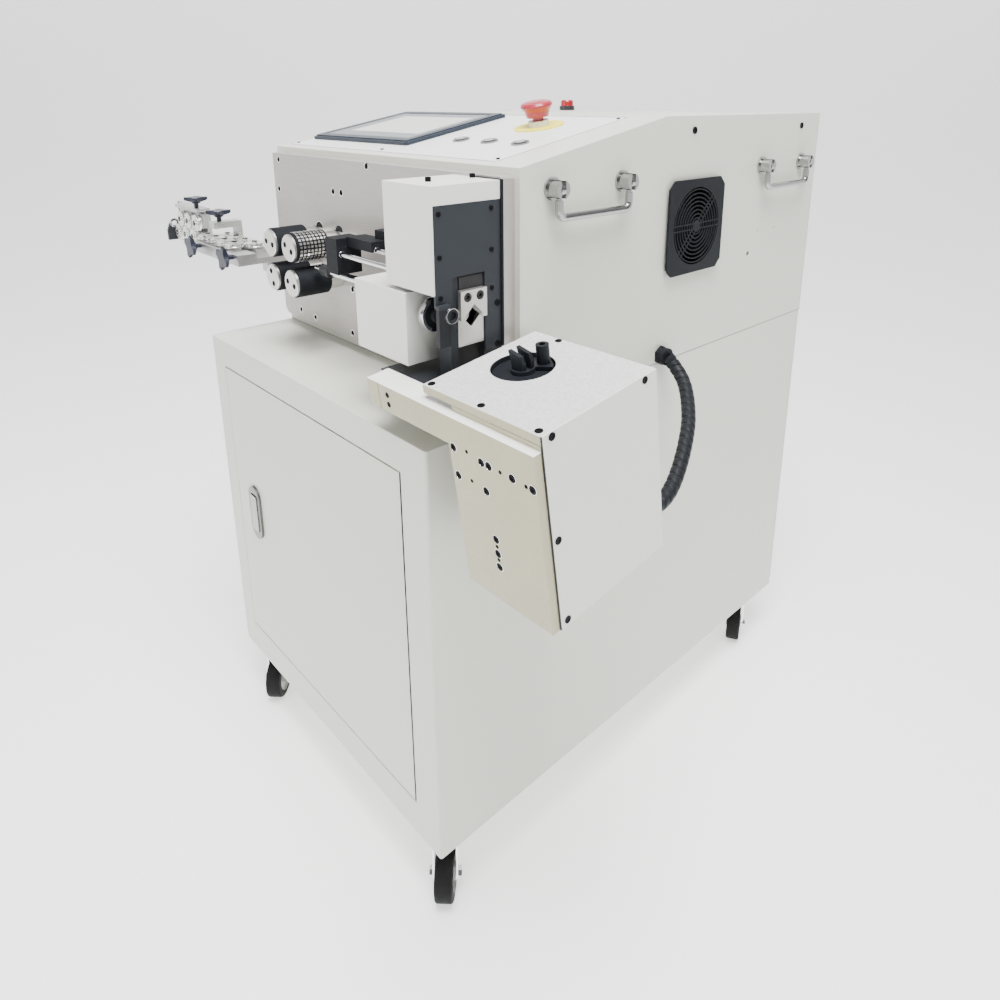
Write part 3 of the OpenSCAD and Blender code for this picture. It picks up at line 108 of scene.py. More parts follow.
# %% [markdown]
# ## Surfaces from arrays
# Most new pieces are grids of points that numpy works out. A grid that closes on itself in
# one direction makes a tube, and flat caps close its ends. A grid that closes in both is a
# band, and a thin plate is a box of eight corners.

# %% Mesh from a grid


def finish_piece(name, points, faces, material, body, smooth=True):
    """Put points and faces into a mesh, give it a material and let it ride on a body."""
    mesh = bpy.data.meshes.new(name)
    mesh.from_pydata(np.asarray(points, float).tolist(), [], [tuple(f) for f in faces])
    mesh.update()
    mesh.polygons.foreach_set("use_smooth", np.full(len(mesh.polygons), smooth))
    piece = bpy.data.objects.new(name, mesh)
    bpy.context.scene.collection.objects.link(piece)
    piece.data.materials.append(material)
    if body:
        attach(piece, body)
    return piece


def grid_faces(rows, columns, wrap=True):
    """Quads between neighbouring rows of a grid, joined round its columns when it wraps."""
    last = columns if wrap else columns - 1
    r, c = np.meshgrid(np.arange(rows - 1), np.arange(last), indexing="ij")
    n = (c + 1) % columns
    quads = np.stack([r * columns + c, r * columns + n, (r + 1) * columns + n,
                      (r + 1) * columns + c], axis=-1)
    return quads.reshape(-1, 4).tolist()


def axes_of(direction):
    """Two unit vectors square to a direction, right-handed with it."""
    w = np.asarray(direction, float)
    w = w / np.linalg.norm(w)
    helper = np.array([0.0, 0.0, 1.0]) if abs(w[2]) < 0.9 else np.array([1.0, 0.0, 0.0])
    u = np.cross(helper, w)
    u /= np.linalg.norm(u)
    return u, np.cross(w, u), w


def ring_round(direction, sides):
    """Angles a, the directions cos a * u + sin a * v round an axis, and the axis itself."""
    u, v, w = axes_of(direction)
    angles = np.linspace(0, 2 * np.pi, sides, endpoint=False)
    return angles, np.cos(angles)[:, None] * u + np.sin(angles)[:, None] * v, w


BOX_FACES = [[0, 3, 2, 1], [4, 5, 6, 7], [0, 1, 5, 4], [1, 2, 6, 5], [2, 3, 7, 6], [3, 0, 4, 7]]


def capped_faces(rows, sides):
    """Faces of a tube: the quads between its rows and a flat cap at each end."""
    faces = grid_faces(rows, sides)
    faces.append(list(range(sides))[::-1])
    faces.append(list(range((rows - 1) * sides, rows * sides)))
    return faces


def band_faces(loops, sides):
    """Quads of a closed band: its last loop is joined to its first one as well."""
    count = loops * sides
    return [[i % count for i in face] for face in grid_faces(loops + 1, sides)]


def joined(parts):
    """Points and faces of several forms as one list each."""
    points = []
    faces = []
    for some_points, some_faces in parts:
        base = sum(len(p) for p in points)
        points.append(np.asarray(some_points))
        faces += [[base + i for i in face] for face in some_faces]
    return np.concatenate(points), faces


print("surface helpers ready")

# %% [markdown]
# ## Shader groups
# Most finishes differ only in grain. One group turns Object coordinates into a colour, a
# roughness and a height, and each material gives it its own scale and stretch. Two more
# groups make masks: one inside a cylinder, one beyond a plane. With them a single CAD node
# can be steel at its shaft and rubber on its drum.

# %% Finish groups


def group_of(name, inputs, outputs):
    """Empty shader group with named sockets, and its input and output nodes."""
    group = bpy.data.node_groups.new(name, "ShaderNodeTree")
    for label, kind, value in inputs:
        socket = group.interface.new_socket(label, in_out="INPUT", socket_type=kind)
        if value is not None:
            socket.default_value = value
    for label, kind in outputs:
        group.interface.new_socket(label, in_out="OUTPUT", socket_type=kind)
    return group, group.nodes.new("NodeGroupInput"), group.nodes.new("NodeGroupOutput")


def add_node(tree, kind, links=None, **values):
    """Node with its properties set and its inputs linked, by name or number."""
    node = tree.nodes.new(kind)
    for key, value in values.items():
        setattr(node, key, value)
    for key, source in (links or {}).items():
        if isinstance(source, bpy.types.NodeSocket):
            tree.links.new(source, node.inputs[key])
        else:
            node.inputs[key].default_value = source
    return node


FLOAT = "NodeSocketFloat"
COLOUR = "NodeSocketColor"
VECTOR = "NodeSocketVector"

grain, grain_in, grain_out = group_of(
    "surface grain",
    [("Base", COLOUR, (0.8, 0.8, 0.8, 1)), ("Shade", COLOUR, (0.6, 0.6, 0.6, 1)),
     ("Stretch", VECTOR, (1, 1, 1)), ("Grain Scale", FLOAT, 600), ("Cloud Scale", FLOAT, 5),
     ("Grain Amount", FLOAT, 0.3), ("Cloud Amount", FLOAT, 0.3), ("Rough Low", FLOAT, 0.4),
     ("Rough High", FLOAT, 0.6)],
    [("Color", COLOUR), ("Roughness", FLOAT), ("Height", FLOAT)])
where = add_node(grain, "ShaderNodeTexCoord")
stretched = add_node(grain, "ShaderNodeVectorMath",
                     {0: where.outputs["Object"], 1: grain_in.outputs["Stretch"]},
                     operation="MULTIPLY")
fine = add_node(grain, "ShaderNodeTexNoise",
                {"Vector": stretched.outputs[0], "Scale": grain_in.outputs["Grain Scale"],
                 "Detail": 3.0, "Roughness": 0.6})
cloud = add_node(grain, "ShaderNodeTexNoise",
                 {"Vector": where.outputs["Object"], "Scale": grain_in.outputs["Cloud Scale"],
                  "Detail": 4.0, "Roughness": 0.55})
grain_part = add_node(grain, "ShaderNodeMath",
                      {0: fine.outputs["Fac"], 1: grain_in.outputs["Grain Amount"]},
                      operation="MULTIPLY")
cloud_part = add_node(grain, "ShaderNodeMath",
                      {0: cloud.outputs["Fac"], 1: grain_in.outputs["Cloud Amount"],
                       2: grain_part.outputs[0]}, operation="MULTIPLY_ADD", use_clamp=True)
tone = add_node(grain, "ShaderNodeMix",
                {"Factor": cloud_part.outputs[0], "A": grain_in.outputs["Base"],
                 "B": grain_in.outputs["Shade"]}, data_type="RGBA")
dull = add_node(grain, "ShaderNodeMapRange",
                {"Value": fine.outputs["Fac"], "From Min": 0.3, "From Max": 0.7,
                 "To Min": grain_in.outputs["Rough Low"],
                 "To Max": grain_in.outputs["Rough High"]})
grain.links.new(tone.outputs["Result"], grain_out.inputs["Color"])
grain.links.new(dull.outputs[0], grain_out.inputs["Roughness"])
grain.links.new(fine.outputs["Fac"], grain_out.inputs["Height"])

inside, inside_in, inside_out = group_of(
    "inside cylinder",
    [("Centre", VECTOR, (0, 0, 0)), ("Axis", VECTOR, (0, 0, 1)), ("Radius", FLOAT, 0.02)],
    [("Mask", FLOAT)])
where = add_node(inside, "ShaderNodeTexCoord")
offset = add_node(inside, "ShaderNodeVectorMath",
                  {0: where.outputs["Object"], 1: inside_in.outputs["Centre"]},
                  operation="SUBTRACT")
across = add_node(inside, "ShaderNodeVectorMath",
                  {0: offset.outputs[0], 1: inside_in.outputs["Axis"]},
                  operation="CROSS_PRODUCT")
away = add_node(inside, "ShaderNodeVectorMath", {0: across.outputs[0]}, operation="LENGTH")
near = add_node(inside, "ShaderNodeMath",
                {0: away.outputs["Value"], 1: inside_in.outputs["Radius"]},
                operation="LESS_THAN")
inside.links.new(near.outputs[0], inside_out.inputs["Mask"])

beyond, beyond_in, beyond_out = group_of(
    "beyond plane", [("Point", VECTOR, (0, 0, 0)), ("Normal", VECTOR, (0, 0, 1))],
    [("Mask", FLOAT)])
where = add_node(beyond, "ShaderNodeTexCoord")
offset = add_node(beyond, "ShaderNodeVectorMath",
                  {0: where.outputs["Object"], 1: beyond_in.outputs["Point"]},
                  operation="SUBTRACT")
height = add_node(beyond, "ShaderNodeVectorMath",
                  {0: offset.outputs[0], 1: beyond_in.outputs["Normal"]},
                  operation="DOT_PRODUCT")
above = add_node(beyond, "ShaderNodeMath", {0: height.outputs["Value"], 1: 0.0},
                 operation="GREATER_THAN")
beyond.links.new(above.outputs[0], beyond_out.inputs["Mask"])
print("groups", [g.name for g in bpy.data.node_groups])

# %% [markdown]
# ## One way to write a finish
# A finish is a base colour, a shade for its grain, how rough it is and how deep its grain
# goes. A zone lays a second finish over part of the node, where its masks say so.

# %% Finish maker
GRAIN_DEPTH = 0.0002
COAT_ROUGH = 0.1


def place_group(tree, group, values):
    """Group node with its inputs set by name."""
    node = tree.nodes.new("ShaderNodeGroup")
    node.node_tree = group
    for key, value in values.items():
        node.inputs[key].default_value = value
    return node


def grain_values(finish):
    """Inputs of the grain group for one finish."""
    return {
        "Base": (*finish["base"], 1), "Shade": (*finish["shade"], 1),
        "Stretch": finish.get("stretch", (1, 1, 1)), "Grain Scale": finish.get("grain", 600),
        "Cloud Scale": finish.get("cloud", 5), "Grain Amount": finish.get("grain_amount", 0.3),
        "Cloud Amount": finish.get("cloud_amount", 0.3), "Rough Low": finish["rough"][0],
        "Rough High": finish["rough"][1],
    }


def blend_values(tree, mask, below, over, colour=False):
    """Value or colour that is below where the mask is 0 and over where it is 1."""
    node = add_node(tree, "ShaderNodeMix", {"Factor": mask},
                    data_type="RGBA" if colour else "FLOAT")
    for key, source in (("A", below), ("B", over)):
        if isinstance(source, bpy.types.NodeSocket):
            tree.links.new(source, node.inputs[key])
        else:
            node.inputs[key].default_value = source
    return node.outputs["Result"]


def material_of(name, finish, zones=()):
    """Principled material of one finish, with more finishes over its zones."""
    material = bpy.data.materials.new(name)
    material.use_nodes = True
    tree = material.node_tree
    shader = tree.nodes["Principled BSDF"]
    first = place_group(tree, grain, grain_values(finish))
    colour = first.outputs["Color"]
    rough = first.outputs["Roughness"]
    metal = float(finish.get("metal", 0))
    for zone in zones:
        over = place_group(tree, grain, grain_values(zone["finish"]))
        mask = None
        for group, values in zone["where"]:
            part = place_group(tree, group, values).outputs["Mask"]
            mask = part if mask is None else add_node(
                tree, "ShaderNodeMath", {0: mask, 1: part}, operation="MULTIPLY").outputs[0]
        colour = blend_values(tree, mask, colour, over.outputs["Color"], True)
        rough = blend_values(tree, mask, rough, over.outputs["Roughness"])
        metal = blend_values(tree, mask, metal, float(zone["finish"].get("metal", 0)))
    tree.links.new(colour, shader.inputs["Base Color"])
    tree.links.new(rough, shader.inputs["Roughness"])
    if isinstance(metal, float):
        shader.inputs["Metallic"].default_value = metal
    else:
        tree.links.new(metal, shader.inputs["Metallic"])
    bump = add_node(tree, "ShaderNodeBump", {"Strength": finish.get("bump", 0.15),
                                             "Distance": GRAIN_DEPTH,
                                             "Height": first.outputs["Height"]})
    tree.links.new(bump.outputs[0], shader.inputs["Normal"])
    shader.inputs["Coat Weight"].default_value = finish.get("coat", 0.0)
    shader.inputs["Specular IOR Level"].default_value = finish.get("gloss", 0.5)
    shader.inputs["Coat Roughness"].default_value = COAT_ROUGH
    return material


print("finish maker ready")

# %% [markdown]
# ## The finishes
# Colours are read from the photograph: warm off-white powder coat, a cream bracket,
# grey anodised plate, ground steel, chrome, black rubber and blue-black plastic. The last
# ones change only a few values of a finish above them.

# %% Finishes
POWDER = dict(base=(0.66, 0.66, 0.59), shade=(0.58, 0.59, 0.535), rough=(0.34, 0.5),
              grain=900, grain_amount=0.35, cloud=3, cloud_amount=0.3, bump=0.35, coat=0.12)
COVER = dict(POWDER, base=(0.78, 0.775, 0.73), shade=(0.70, 0.70, 0.665))
PANEL = dict(base=(0.86, 0.865, 0.855), shade=(0.66, 0.67, 0.66), rough=(0.3, 0.6), grain=420,
             grain_amount=0.6, cloud=4, cloud_amount=0.15, bump=0.6, coat=0.1)
CREAM = dict(base=(0.49, 0.455, 0.30), shade=(0.33, 0.31, 0.21), rough=(0.3, 0.5), grain=250,
             grain_amount=0.15, cloud=14, cloud_amount=0.65, metal=0.2, bump=0.1)
PLATE = dict(base=(0.52, 0.485, 0.455), shade=(0.37, 0.345, 0.325), rough=(0.3, 0.46), grain=420,
             grain_amount=0.5, cloud=6, cloud_amount=0.4, metal=0.45, bump=0.2,
             stretch=(0.08, 1, 1))
SPECKLED = dict(base=(0.90, 0.905, 0.89), shade=(0.22, 0.23, 0.23), rough=(0.45, 0.7),
                grain=260, grain_amount=0.75, cloud=8, cloud_amount=0.1, metal=0.1, bump=0.8)
ALLOY = dict(base=(0.60, 0.60, 0.59), shade=(0.40, 0.40, 0.40), rough=(0.25, 0.4), grain=500,
             grain_amount=0.4, cloud=40, cloud_amount=0.3, metal=0.8, bump=0.15)
SLATE = dict(base=(0.018, 0.021, 0.026), shade=(0.034, 0.039, 0.045), rough=(0.36, 0.5), grain=500,
             grain_amount=0.25, cloud=15, cloud_amount=0.35, bump=0.12, gloss=0.22)
STEEL = dict(base=(0.80, 0.79, 0.76), shade=(0.55, 0.54, 0.52), rough=(0.22, 0.34), grain=600,
             grain_amount=0.35, cloud=30, cloud_amount=0.3, metal=1.0, bump=0.05,
             stretch=(1, 0.1, 1))
GROUND = dict(base=(0.60, 0.58, 0.545), shade=(0.48, 0.465, 0.44), rough=(0.3, 0.38), grain=300,
              grain_amount=0.2, cloud=25, cloud_amount=0.3, metal=0.9, bump=0.0)
SATIN = dict(base=(0.42, 0.42, 0.415), shade=(0.30, 0.30, 0.295), rough=(0.16, 0.26), grain=300,
             grain_amount=0.2, cloud=30, cloud_amount=0.3, metal=1.0, bump=0.03)
CHROME = dict(base=(0.88, 0.88, 0.89), shade=(0.72, 0.72, 0.74), rough=(0.06, 0.14), grain=200,
              grain_amount=0.1, cloud=20, cloud_amount=0.2, metal=1.0, bump=0.02)
BLACK = dict(base=(0.008, 0.009, 0.011), shade=(0.02, 0.022, 0.026), rough=(0.38, 0.52),
             grain=700, grain_amount=0.4, cloud=12, cloud_amount=0.3, bump=0.25, gloss=0.08)
KNOB = dict(base=(0.012, 0.014, 0.026), shade=(0.03, 0.035, 0.055), rough=(0.25, 0.4), grain=600,
            grain_amount=0.3, cloud=30, cloud_amount=0.3, bump=0.2, gloss=0.4)
RUBBER = dict(base=(0.006, 0.007, 0.009), shade=(0.016, 0.018, 0.021), rough=(0.5, 0.68),
              grain=900, grain_amount=0.5, cloud=20, cloud_amount=0.4, bump=0.35, gloss=0.1)
TYRE = dict(base=(0.007, 0.007, 0.008), shade=(0.022, 0.022, 0.022), rough=(0.5, 0.7), grain=500,
            grain_amount=0.4, cloud=25, cloud_amount=0.5, bump=0.3, gloss=0.08)
HUB = dict(base=(0.5, 0.5, 0.49), shade=(0.36, 0.36, 0.36), rough=(0.35, 0.5), metal=0.6)
STOP_RED = dict(base=(0.40, 0.018, 0.04), shade=(0.31, 0.015, 0.034), rough=(0.25, 0.35),
                cloud=20, cloud_amount=0.4, bump=0.05, coat=0.2)
YELLOW = dict(base=(0.92, 0.80, 0.03), shade=(0.82, 0.72, 0.03), rough=(0.35, 0.45))
LAMP_RED = dict(base=(0.4, 0.008, 0.015), shade=(0.3, 0.006, 0.012), rough=(0.12, 0.2), coat=0.4)
GLASS_DARK = dict(base=(0.03, 0.038, 0.052), shade=(0.045, 0.052, 0.066), rough=(0.3, 0.4),
                  cloud=6, cloud_amount=0.3, bump=0.0, gloss=0.15)
BRIGHT = dict(base=(0.92, 0.92, 0.90), shade=(0.66, 0.66, 0.65), rough=(0.2, 0.32), grain=400,
              grain_amount=0.3, cloud=60, cloud_amount=0.4, metal=0.9, bump=0.08)
BLACKENED = dict(base=(0.004, 0.004, 0.005), shade=(0.010, 0.010, 0.012), rough=(0.45, 0.6),
                 grain_amount=0.3, gloss=0.08)
# Near-white copy of the cream that paints the highlight on the bracket's lit top edge.
TOP_EDGE_HIGHLIGHT = dict(CREAM, base=(0.88, 0.87, 0.84), shade=(0.80, 0.79, 0.76), metal=0)
CAP_METAL = dict(STEEL, stretch=(1, 1, 1), grain=300, rough=(0.3, 0.42))
CORE_METAL = dict(SLATE, base=(0.008, 0.009, 0.012), gloss=0.12)
ROTOR_METAL = dict(SLATE, base=(0.006, 0.007, 0.010), shade=(0.018, 0.020, 0.024), gloss=0.16)
RING_METAL = dict(SATIN, base=(0.22, 0.22, 0.22))
LATCH_METAL = dict(SATIN, base=(0.17, 0.17, 0.165), shade=(0.12, 0.12, 0.115))
LEVER_METAL = dict(SATIN, base=(0.34, 0.34, 0.33), shade=(0.25, 0.25, 0.245))
# Dark copy of the powder coat that paints the shadow at the housing's foot.
FOOT_SHADE = dict(POWDER, base=(0.16, 0.16, 0.15), shade=(0.12, 0.12, 0.115))
print("finishes defined")

# %% [markdown]
# ## Places on the slope and on the bending unit
# The control panel lies on a slope and the bending unit tilts forward. Their places are
# counted along the slope and along the unit, and two functions turn them into points.

# %% Tilted places
SLOPE_FOOT = (145, 1007)
SLOPE_TOP = (420, 1060)
SLOPE = math.atan((SLOPE_TOP[1] - SLOPE_FOOT[1]) / (SLOPE_TOP[0] - SLOPE_FOOT[0]))
SLOPE_UP = Vector((0, -math.sin(SLOPE), math.cos(SLOPE)))
BEND_TILT = math.radians(8)
BEND_ORIGIN = (10, -8, 790)
BEND_W = 178
BEND_UP = (0, -math.sin(BEND_TILT), math.cos(BEND_TILT))
BEND_FRONT = (0, -math.cos(BEND_TILT), -math.sin(BEND_TILT))


def on_slope(x, s, n=0.0):
    """Point on the sloping panel: x from the right side, s up the slope, n out of it."""
    return spot(x, SLOPE_FOOT[0] + s * math.cos(SLOPE),
                SLOPE_FOOT[1] + s * math.sin(SLOPE)) + SLOPE_UP * n * MM


def on_bend(x, y, z):
    """Point of the bending unit's tilted frame, from its top plate's front left corner."""
    c = math.cos(BEND_TILT)
    s = math.sin(BEND_TILT)
    return spot(BEND_ORIGIN[0] + x, BEND_ORIGIN[1] + y * c - z * s,
                BEND_ORIGIN[2] + y * s + z * c)


print("slope", round(math.degrees(SLOPE), 1), "degrees")

# %% [markdown]
# ## Zones on nodes that mix materials
# Many CAD nodes are one mesh of several real materials: a roller has steel caps on a rubber
# drum, a castor wheel has a hub in its tyre. Each mask follows the real edge between two
# materials, either a radius round an axis or a plane, and a zone needs all its masks.

# %% Masks


def past(point, normal):
    """Mask that holds beyond a plane: the dot product of place - point and normal is above 0."""
    return beyond, {"Point": point, "Normal": normal}


def within(centre, axis, radius):
    """Mask that holds inside a cylinder: the distance from its axis is below the radius."""
    return inside, {"Centre": centre, "Axis": axis, "Radius": radius}


def slab(low, high, axis):
    """Two masks that hold between two parallel planes, given by a point on each."""
    normal = Vector(axis)
    return [past(low, normal), past(high, -normal)]


def between(axis, low, high):
    """Two masks that hold from low to high, in millimetres along an axis of the machine."""
    return slab(spot(*(low * n for n in axis)), spot(*(high * n for n in axis)), axis)


def patch(finish, *masks):
    """Zone with a finish of its own, where all of its masks hold."""
    return {"finish": finish, "where": masks}


print("masks ready")

# %% [markdown]
# The feed rollers are rubber drums with steel at both ends, and the guide tube has a black
# collar. In the straightener bright wheels run in a grey alloy frame, and its end plate is
# black with a chrome eye for the wire. Planes close round each group of wheels set it off.

# %% Feed and straightener zones
WIRE_Y = 78
WIRE_Z = 844
ROLLER_SPOTS = {"ul": (-447, 874), "ur": (-387, 874), "ll": (-447, 821), "lr": (-387, 821)}
DRUM_FRONT = 50
DRUM_BACK = 102
PLATE_EDGE = -577
FLAT_WHEELS_X = (-757, -588)
FLAT_WHEELS_Z = (839.8, 852)
FLAT_WHEELS_BACK = 105.5
TALL_WHEELS_X = (-936, -803)
TALL_WHEELS_Y = (70, 82.2)
TALL_WHEELS_TOP = 876
STRAIGHTENER_END = -950.5
END_PLATE = 6.3
EYE_R = 0.009
TUBE_COLLAR_X = (-346.2, -321.8)
drum_ends = [patch(CAP_METAL, past(spot(0, DRUM_FRONT, 0), TO_FRONT)),
             patch(CAP_METAL, past(spot(0, DRUM_BACK, 0), TO_BACK))]
end_plate = past(spot(STRAIGHTENER_END + END_PLATE, 0, 0), UPSTREAM)
straightener = [
    patch(BRIGHT, *between(UP, *FLAT_WHEELS_Z), *between(DOWNSTREAM, *FLAT_WHEELS_X),
          past(spot(0, FLAT_WHEELS_BACK, 0), TO_FRONT)),
    patch(BRIGHT, *between(TO_BACK, *TALL_WHEELS_Y), *between(DOWNSTREAM, *TALL_WHEELS_X),
          past(spot(0, 0, TALL_WHEELS_TOP), DOWN)),
    patch(BLACK, end_plate),
    patch(CHROME, end_plate, within(spot(0, WIRE_Y, WIRE_Z), DOWNSTREAM, EYE_R)),
]
tube_collar = patch(BLACK, *between(DOWNSTREAM, *TUBE_COLLAR_X))
print("straightener zones", len(straightener))

# %% [markdown]
# The knives are ground steel in blackened holders on a slate-coloured head, and the wire
# leaves it through a black bar with a steel ring. Screws, rods, ring and drive disc are round,
# so each takes its finish inside a cylinder, and planes cut most of these cylinders off.

# %% Cutting head zones
BLADE_FACE = -4
BLADE_SCREWS = [(WIRE_Y - 9, WIRE_Z + 25), (WIRE_Y + 9, WIRE_Z + 25)]
BLADE_SCREW_R = 0.0054
BLADE_SCREW_DEPTH = 2.5
HOLDER_OFF = 33.2
GUIDE_RODS = [(WIRE_Y - 8.4, WIRE_Z + 34), (WIRE_Y + 8.4, WIRE_Z + 46)]
GUIDE_ROD_R = 0.0043
OUTLET_X = (-8.2, 8)
OUTLET_Z = (800, 861.8)
OUTLET_BACK = 46.5
RING_AT = spot(0, 44, WIRE_Z + 9)
RING_X = (-7, 8)
RING_R = 0.0091
RING_BORE_R = 0.0079
HEAD_BLOCK = -34
DRIVE_DISC = spot(0, WIRE_Y - 26, WIRE_Z + 1)
DRIVE_DISC_X = (HEAD_BLOCK - 14.5, HEAD_BLOCK - 5.5)
DRIVE_RIM_R = 0.0205
DRIVE_FACE_R = 0.0165
upper_holder = patch(BLACKENED, past(spot(0, 0, WIRE_Z + HOLDER_OFF), UP))
lower_holder = patch(BLACKENED, past(spot(0, 0, WIRE_Z - HOLDER_OFF), DOWN))
blade_screws = [patch(BLACKENED, within(spot(0, y, z), DOWNSTREAM, BLADE_SCREW_R),
                      past(spot(BLADE_FACE - BLADE_SCREW_DEPTH, 0, 0), DOWNSTREAM))
                for y, z in BLADE_SCREWS]
rods = [patch(CHROME, within(spot(0, y, z), DOWNSTREAM, GUIDE_ROD_R)) for y, z in GUIDE_RODS]
outlet = [
    patch(BLACK, *between(DOWNSTREAM, *OUTLET_X), *between(UP, *OUTLET_Z),
          past(spot(0, OUTLET_BACK, 0), TO_FRONT)),
    patch(SATIN, *between(DOWNSTREAM, *RING_X), within(RING_AT, DOWNSTREAM, RING_R)),
    patch(BLACK, *between(DOWNSTREAM, *RING_X), within(RING_AT, DOWNSTREAM, RING_BORE_R)),
]
drive_disc = [patch(finish, *between(DOWNSTREAM, *DRIVE_DISC_X),
                    within(DRIVE_DISC, DOWNSTREAM, radius))
              for finish, radius in ((CHROME, DRIVE_RIM_R), (BLACK, DRIVE_FACE_R))]
print("head zones", len(outlet + drive_disc + blade_screws + rods) + 2)

# %% [markdown]
# The bending unit's box is white with a cream front, and its disc turns in a black recess.
# Black paints the shade in the gap at the door's right edge, and a dark band paints the
# shadow at the housing's foot. The stop button stands on a yellow ring, and the lamp has a
# black base.

# %% Bending unit, door, housing, ring and lamp zones
DISC_AT = on_bend(58, 94, 0)
DISC_HOLE_R = 0.0361
BRACKET_TOP = -16
EDGE_GAP = 0.3
FRONT_COAT = 0.45
BOX_SHADE_DEPTH = 1.0
DOOR_EDGE = -55
DOOR_SHADE_WIDTH = 0.5
DOOR_SHADE_BEHIND = 0.15
HOUSING_FOOT = shell_high.z / MM
FOOT_SHADE_HEIGHT = 1.1
STOP_AT = on_slope(-166, 198)
STOP_RING_R = 0.045
STOP_NECK_R = 0.0155
LAMP_BASE_TOP = 1069.5
recess = patch(BLACK, within(DISC_AT, BEND_UP, DISC_HOLE_R))
cream_front = patch(CREAM, past(on_bend(0, FRONT_COAT, 0), BEND_FRONT))
# Painted shade: a dark band on the box's right side, along its front edge, stands for the shadow
# in the gap between the cream bracket and the side cover.
box_gap_shade = patch(BLACKENED, *slab(on_bend(0, BOX_SHADE_DEPTH, 0), on_bend(0, -EDGE_GAP, 0), BEND_FRONT),
                  past(on_bend(BEND_W - EDGE_GAP, 0, 0), DOWNSTREAM))
# Painted highlight: the bracket's top face and the top 0.3 mm of its front are coloured
# near-white.
top_edge_highlight = patch(TOP_EDGE_HIGHLIGHT, past(on_bend(0, 0, BRACKET_TOP - EDGE_GAP), BEND_UP))
# Painted shade: the door's right side face, behind its front, is coloured black like rubber so
# that the gap beside it looks dark.
door_gap_shade = patch(RUBBER, past(spot(DOOR_EDGE - DOOR_SHADE_WIDTH, 0, 0), DOWNSTREAM),
                  past(spot(0, DOOR_SHADE_BEHIND, 0), TO_BACK))
# Painted shadow: the lowest 1.1 mm of the housing, where it meets the cabinet, is coloured dark.
foot_shade = patch(FOOT_SHADE, past(spot(0, 0, HOUSING_FOOT + FOOT_SHADE_HEIGHT), DOWN))
stop_rings = [patch(YELLOW, within(STOP_AT, SLOPE_UP, STOP_RING_R)),
              patch(COVER, within(STOP_AT, SLOPE_UP, STOP_NECK_R))]
lamp_base = patch(BLACK, past(spot(0, 0, LAMP_BASE_TOP), DOWN))
print("housing foot at", round(HOUSING_FOOT, 1), "mm")

# %% [markdown]
# Each material is made once, from a finish and the zones that lie over it.

# %% Materials
materials = {
    "powder": material_of("powder coat", POWDER),
    "door": material_of("door coat", POWDER, [door_gap_shade]),
    "cover": material_of("white cover", COVER),
    "wheels": material_of("straightener", ALLOY, straightener),
    "knife": material_of("upper knife", GROUND, [upper_holder] + blade_screws),
    "guide": material_of("wire guide", BLACK, rods),
    "head": material_of("cutting head", SLATE, outlet + drive_disc),
    "lower knife": material_of("lower knife", GROUND, [lower_holder]),
    "tube": material_of("guide tube", CHROME, [tube_collar]),
    "bend box": material_of("bending unit box", COVER, [recess, cream_front, box_gap_shade]),
    "panel": material_of("panel coat", PANEL),
    "cream": material_of("cream bracket", CREAM, [top_edge_highlight]),
    "plate": material_of("anodised plate", PLATE),
    "speckled": material_of("blasted top plate", SPECKLED, [recess, cream_front]),
    "alloy": material_of("milled alloy", ALLOY),
    "core": material_of("blackened steel", CORE_METAL),
    "rotor": material_of("oiled steel", ROTOR_METAL),
    "steel": material_of("ground steel", STEEL),
    "chrome": material_of("chrome", CHROME),
    "black": material_of("black moulding", BLACK),
    "knob": material_of("knob moulding", KNOB),
    "screen": material_of("screen bezel", GLASS_DARK),
    "stop": material_of("stop cap", STOP_RED),
    "screw": material_of("blackened screws", BLACKENED),
    "roller": material_of("roller", RUBBER, drum_ends),
    "collars": material_of("panel rings", RING_METAL, stop_rings),
    "satin": material_of("satin steel", SATIN),
    "latch": material_of("latch metal", LATCH_METAL),
    "lever": material_of("latch lever", LEVER_METAL),
    "housing": material_of("housing coat", POWDER, [foot_shade]),
    "lamp": material_of("signal lamp", LAMP_RED, [lamp_base]),
}
print("materials", len(materials))

# %% [markdown]
# Every castor is swivelled by an angle, so each wheel has a mask round its own axle. The
# axle's centre trails the kingpin at (x, y), at (x + 24 cos a, y + 24 sin a) in millimetres.

# %% Castor wheels
CASTORS = {"fl": (-556, 44, -45), "fr": (-44, 44, -45), "rl": (-556, 810, -62),
           "rr": (-44, 810, -62)}
TRAIL = 24
AXLE_Z = 37.5
HUB_R = 0.0255
for key, (x, y, angle) in CASTORS.items():
    turn = math.radians(angle)
    hub = spot(x + TRAIL * math.cos(turn), y + TRAIL * math.sin(turn), AXLE_Z)
    axle = (-math.sin(turn), math.cos(turn), 0)
    materials["wheel_" + key] = material_of("castor wheel " + key, TYRE,
                                            [patch(HUB, within(hub, axle, HUB_R))])
print("castor wheels", len(CASTORS))

# %% [markdown]
# ## Dress the CAD nodes
# Each node keeps its mesh. Its material is swapped, and a weld and a narrow bevel catch the
# light on sheet-metal edges as folded and deburred steel does.

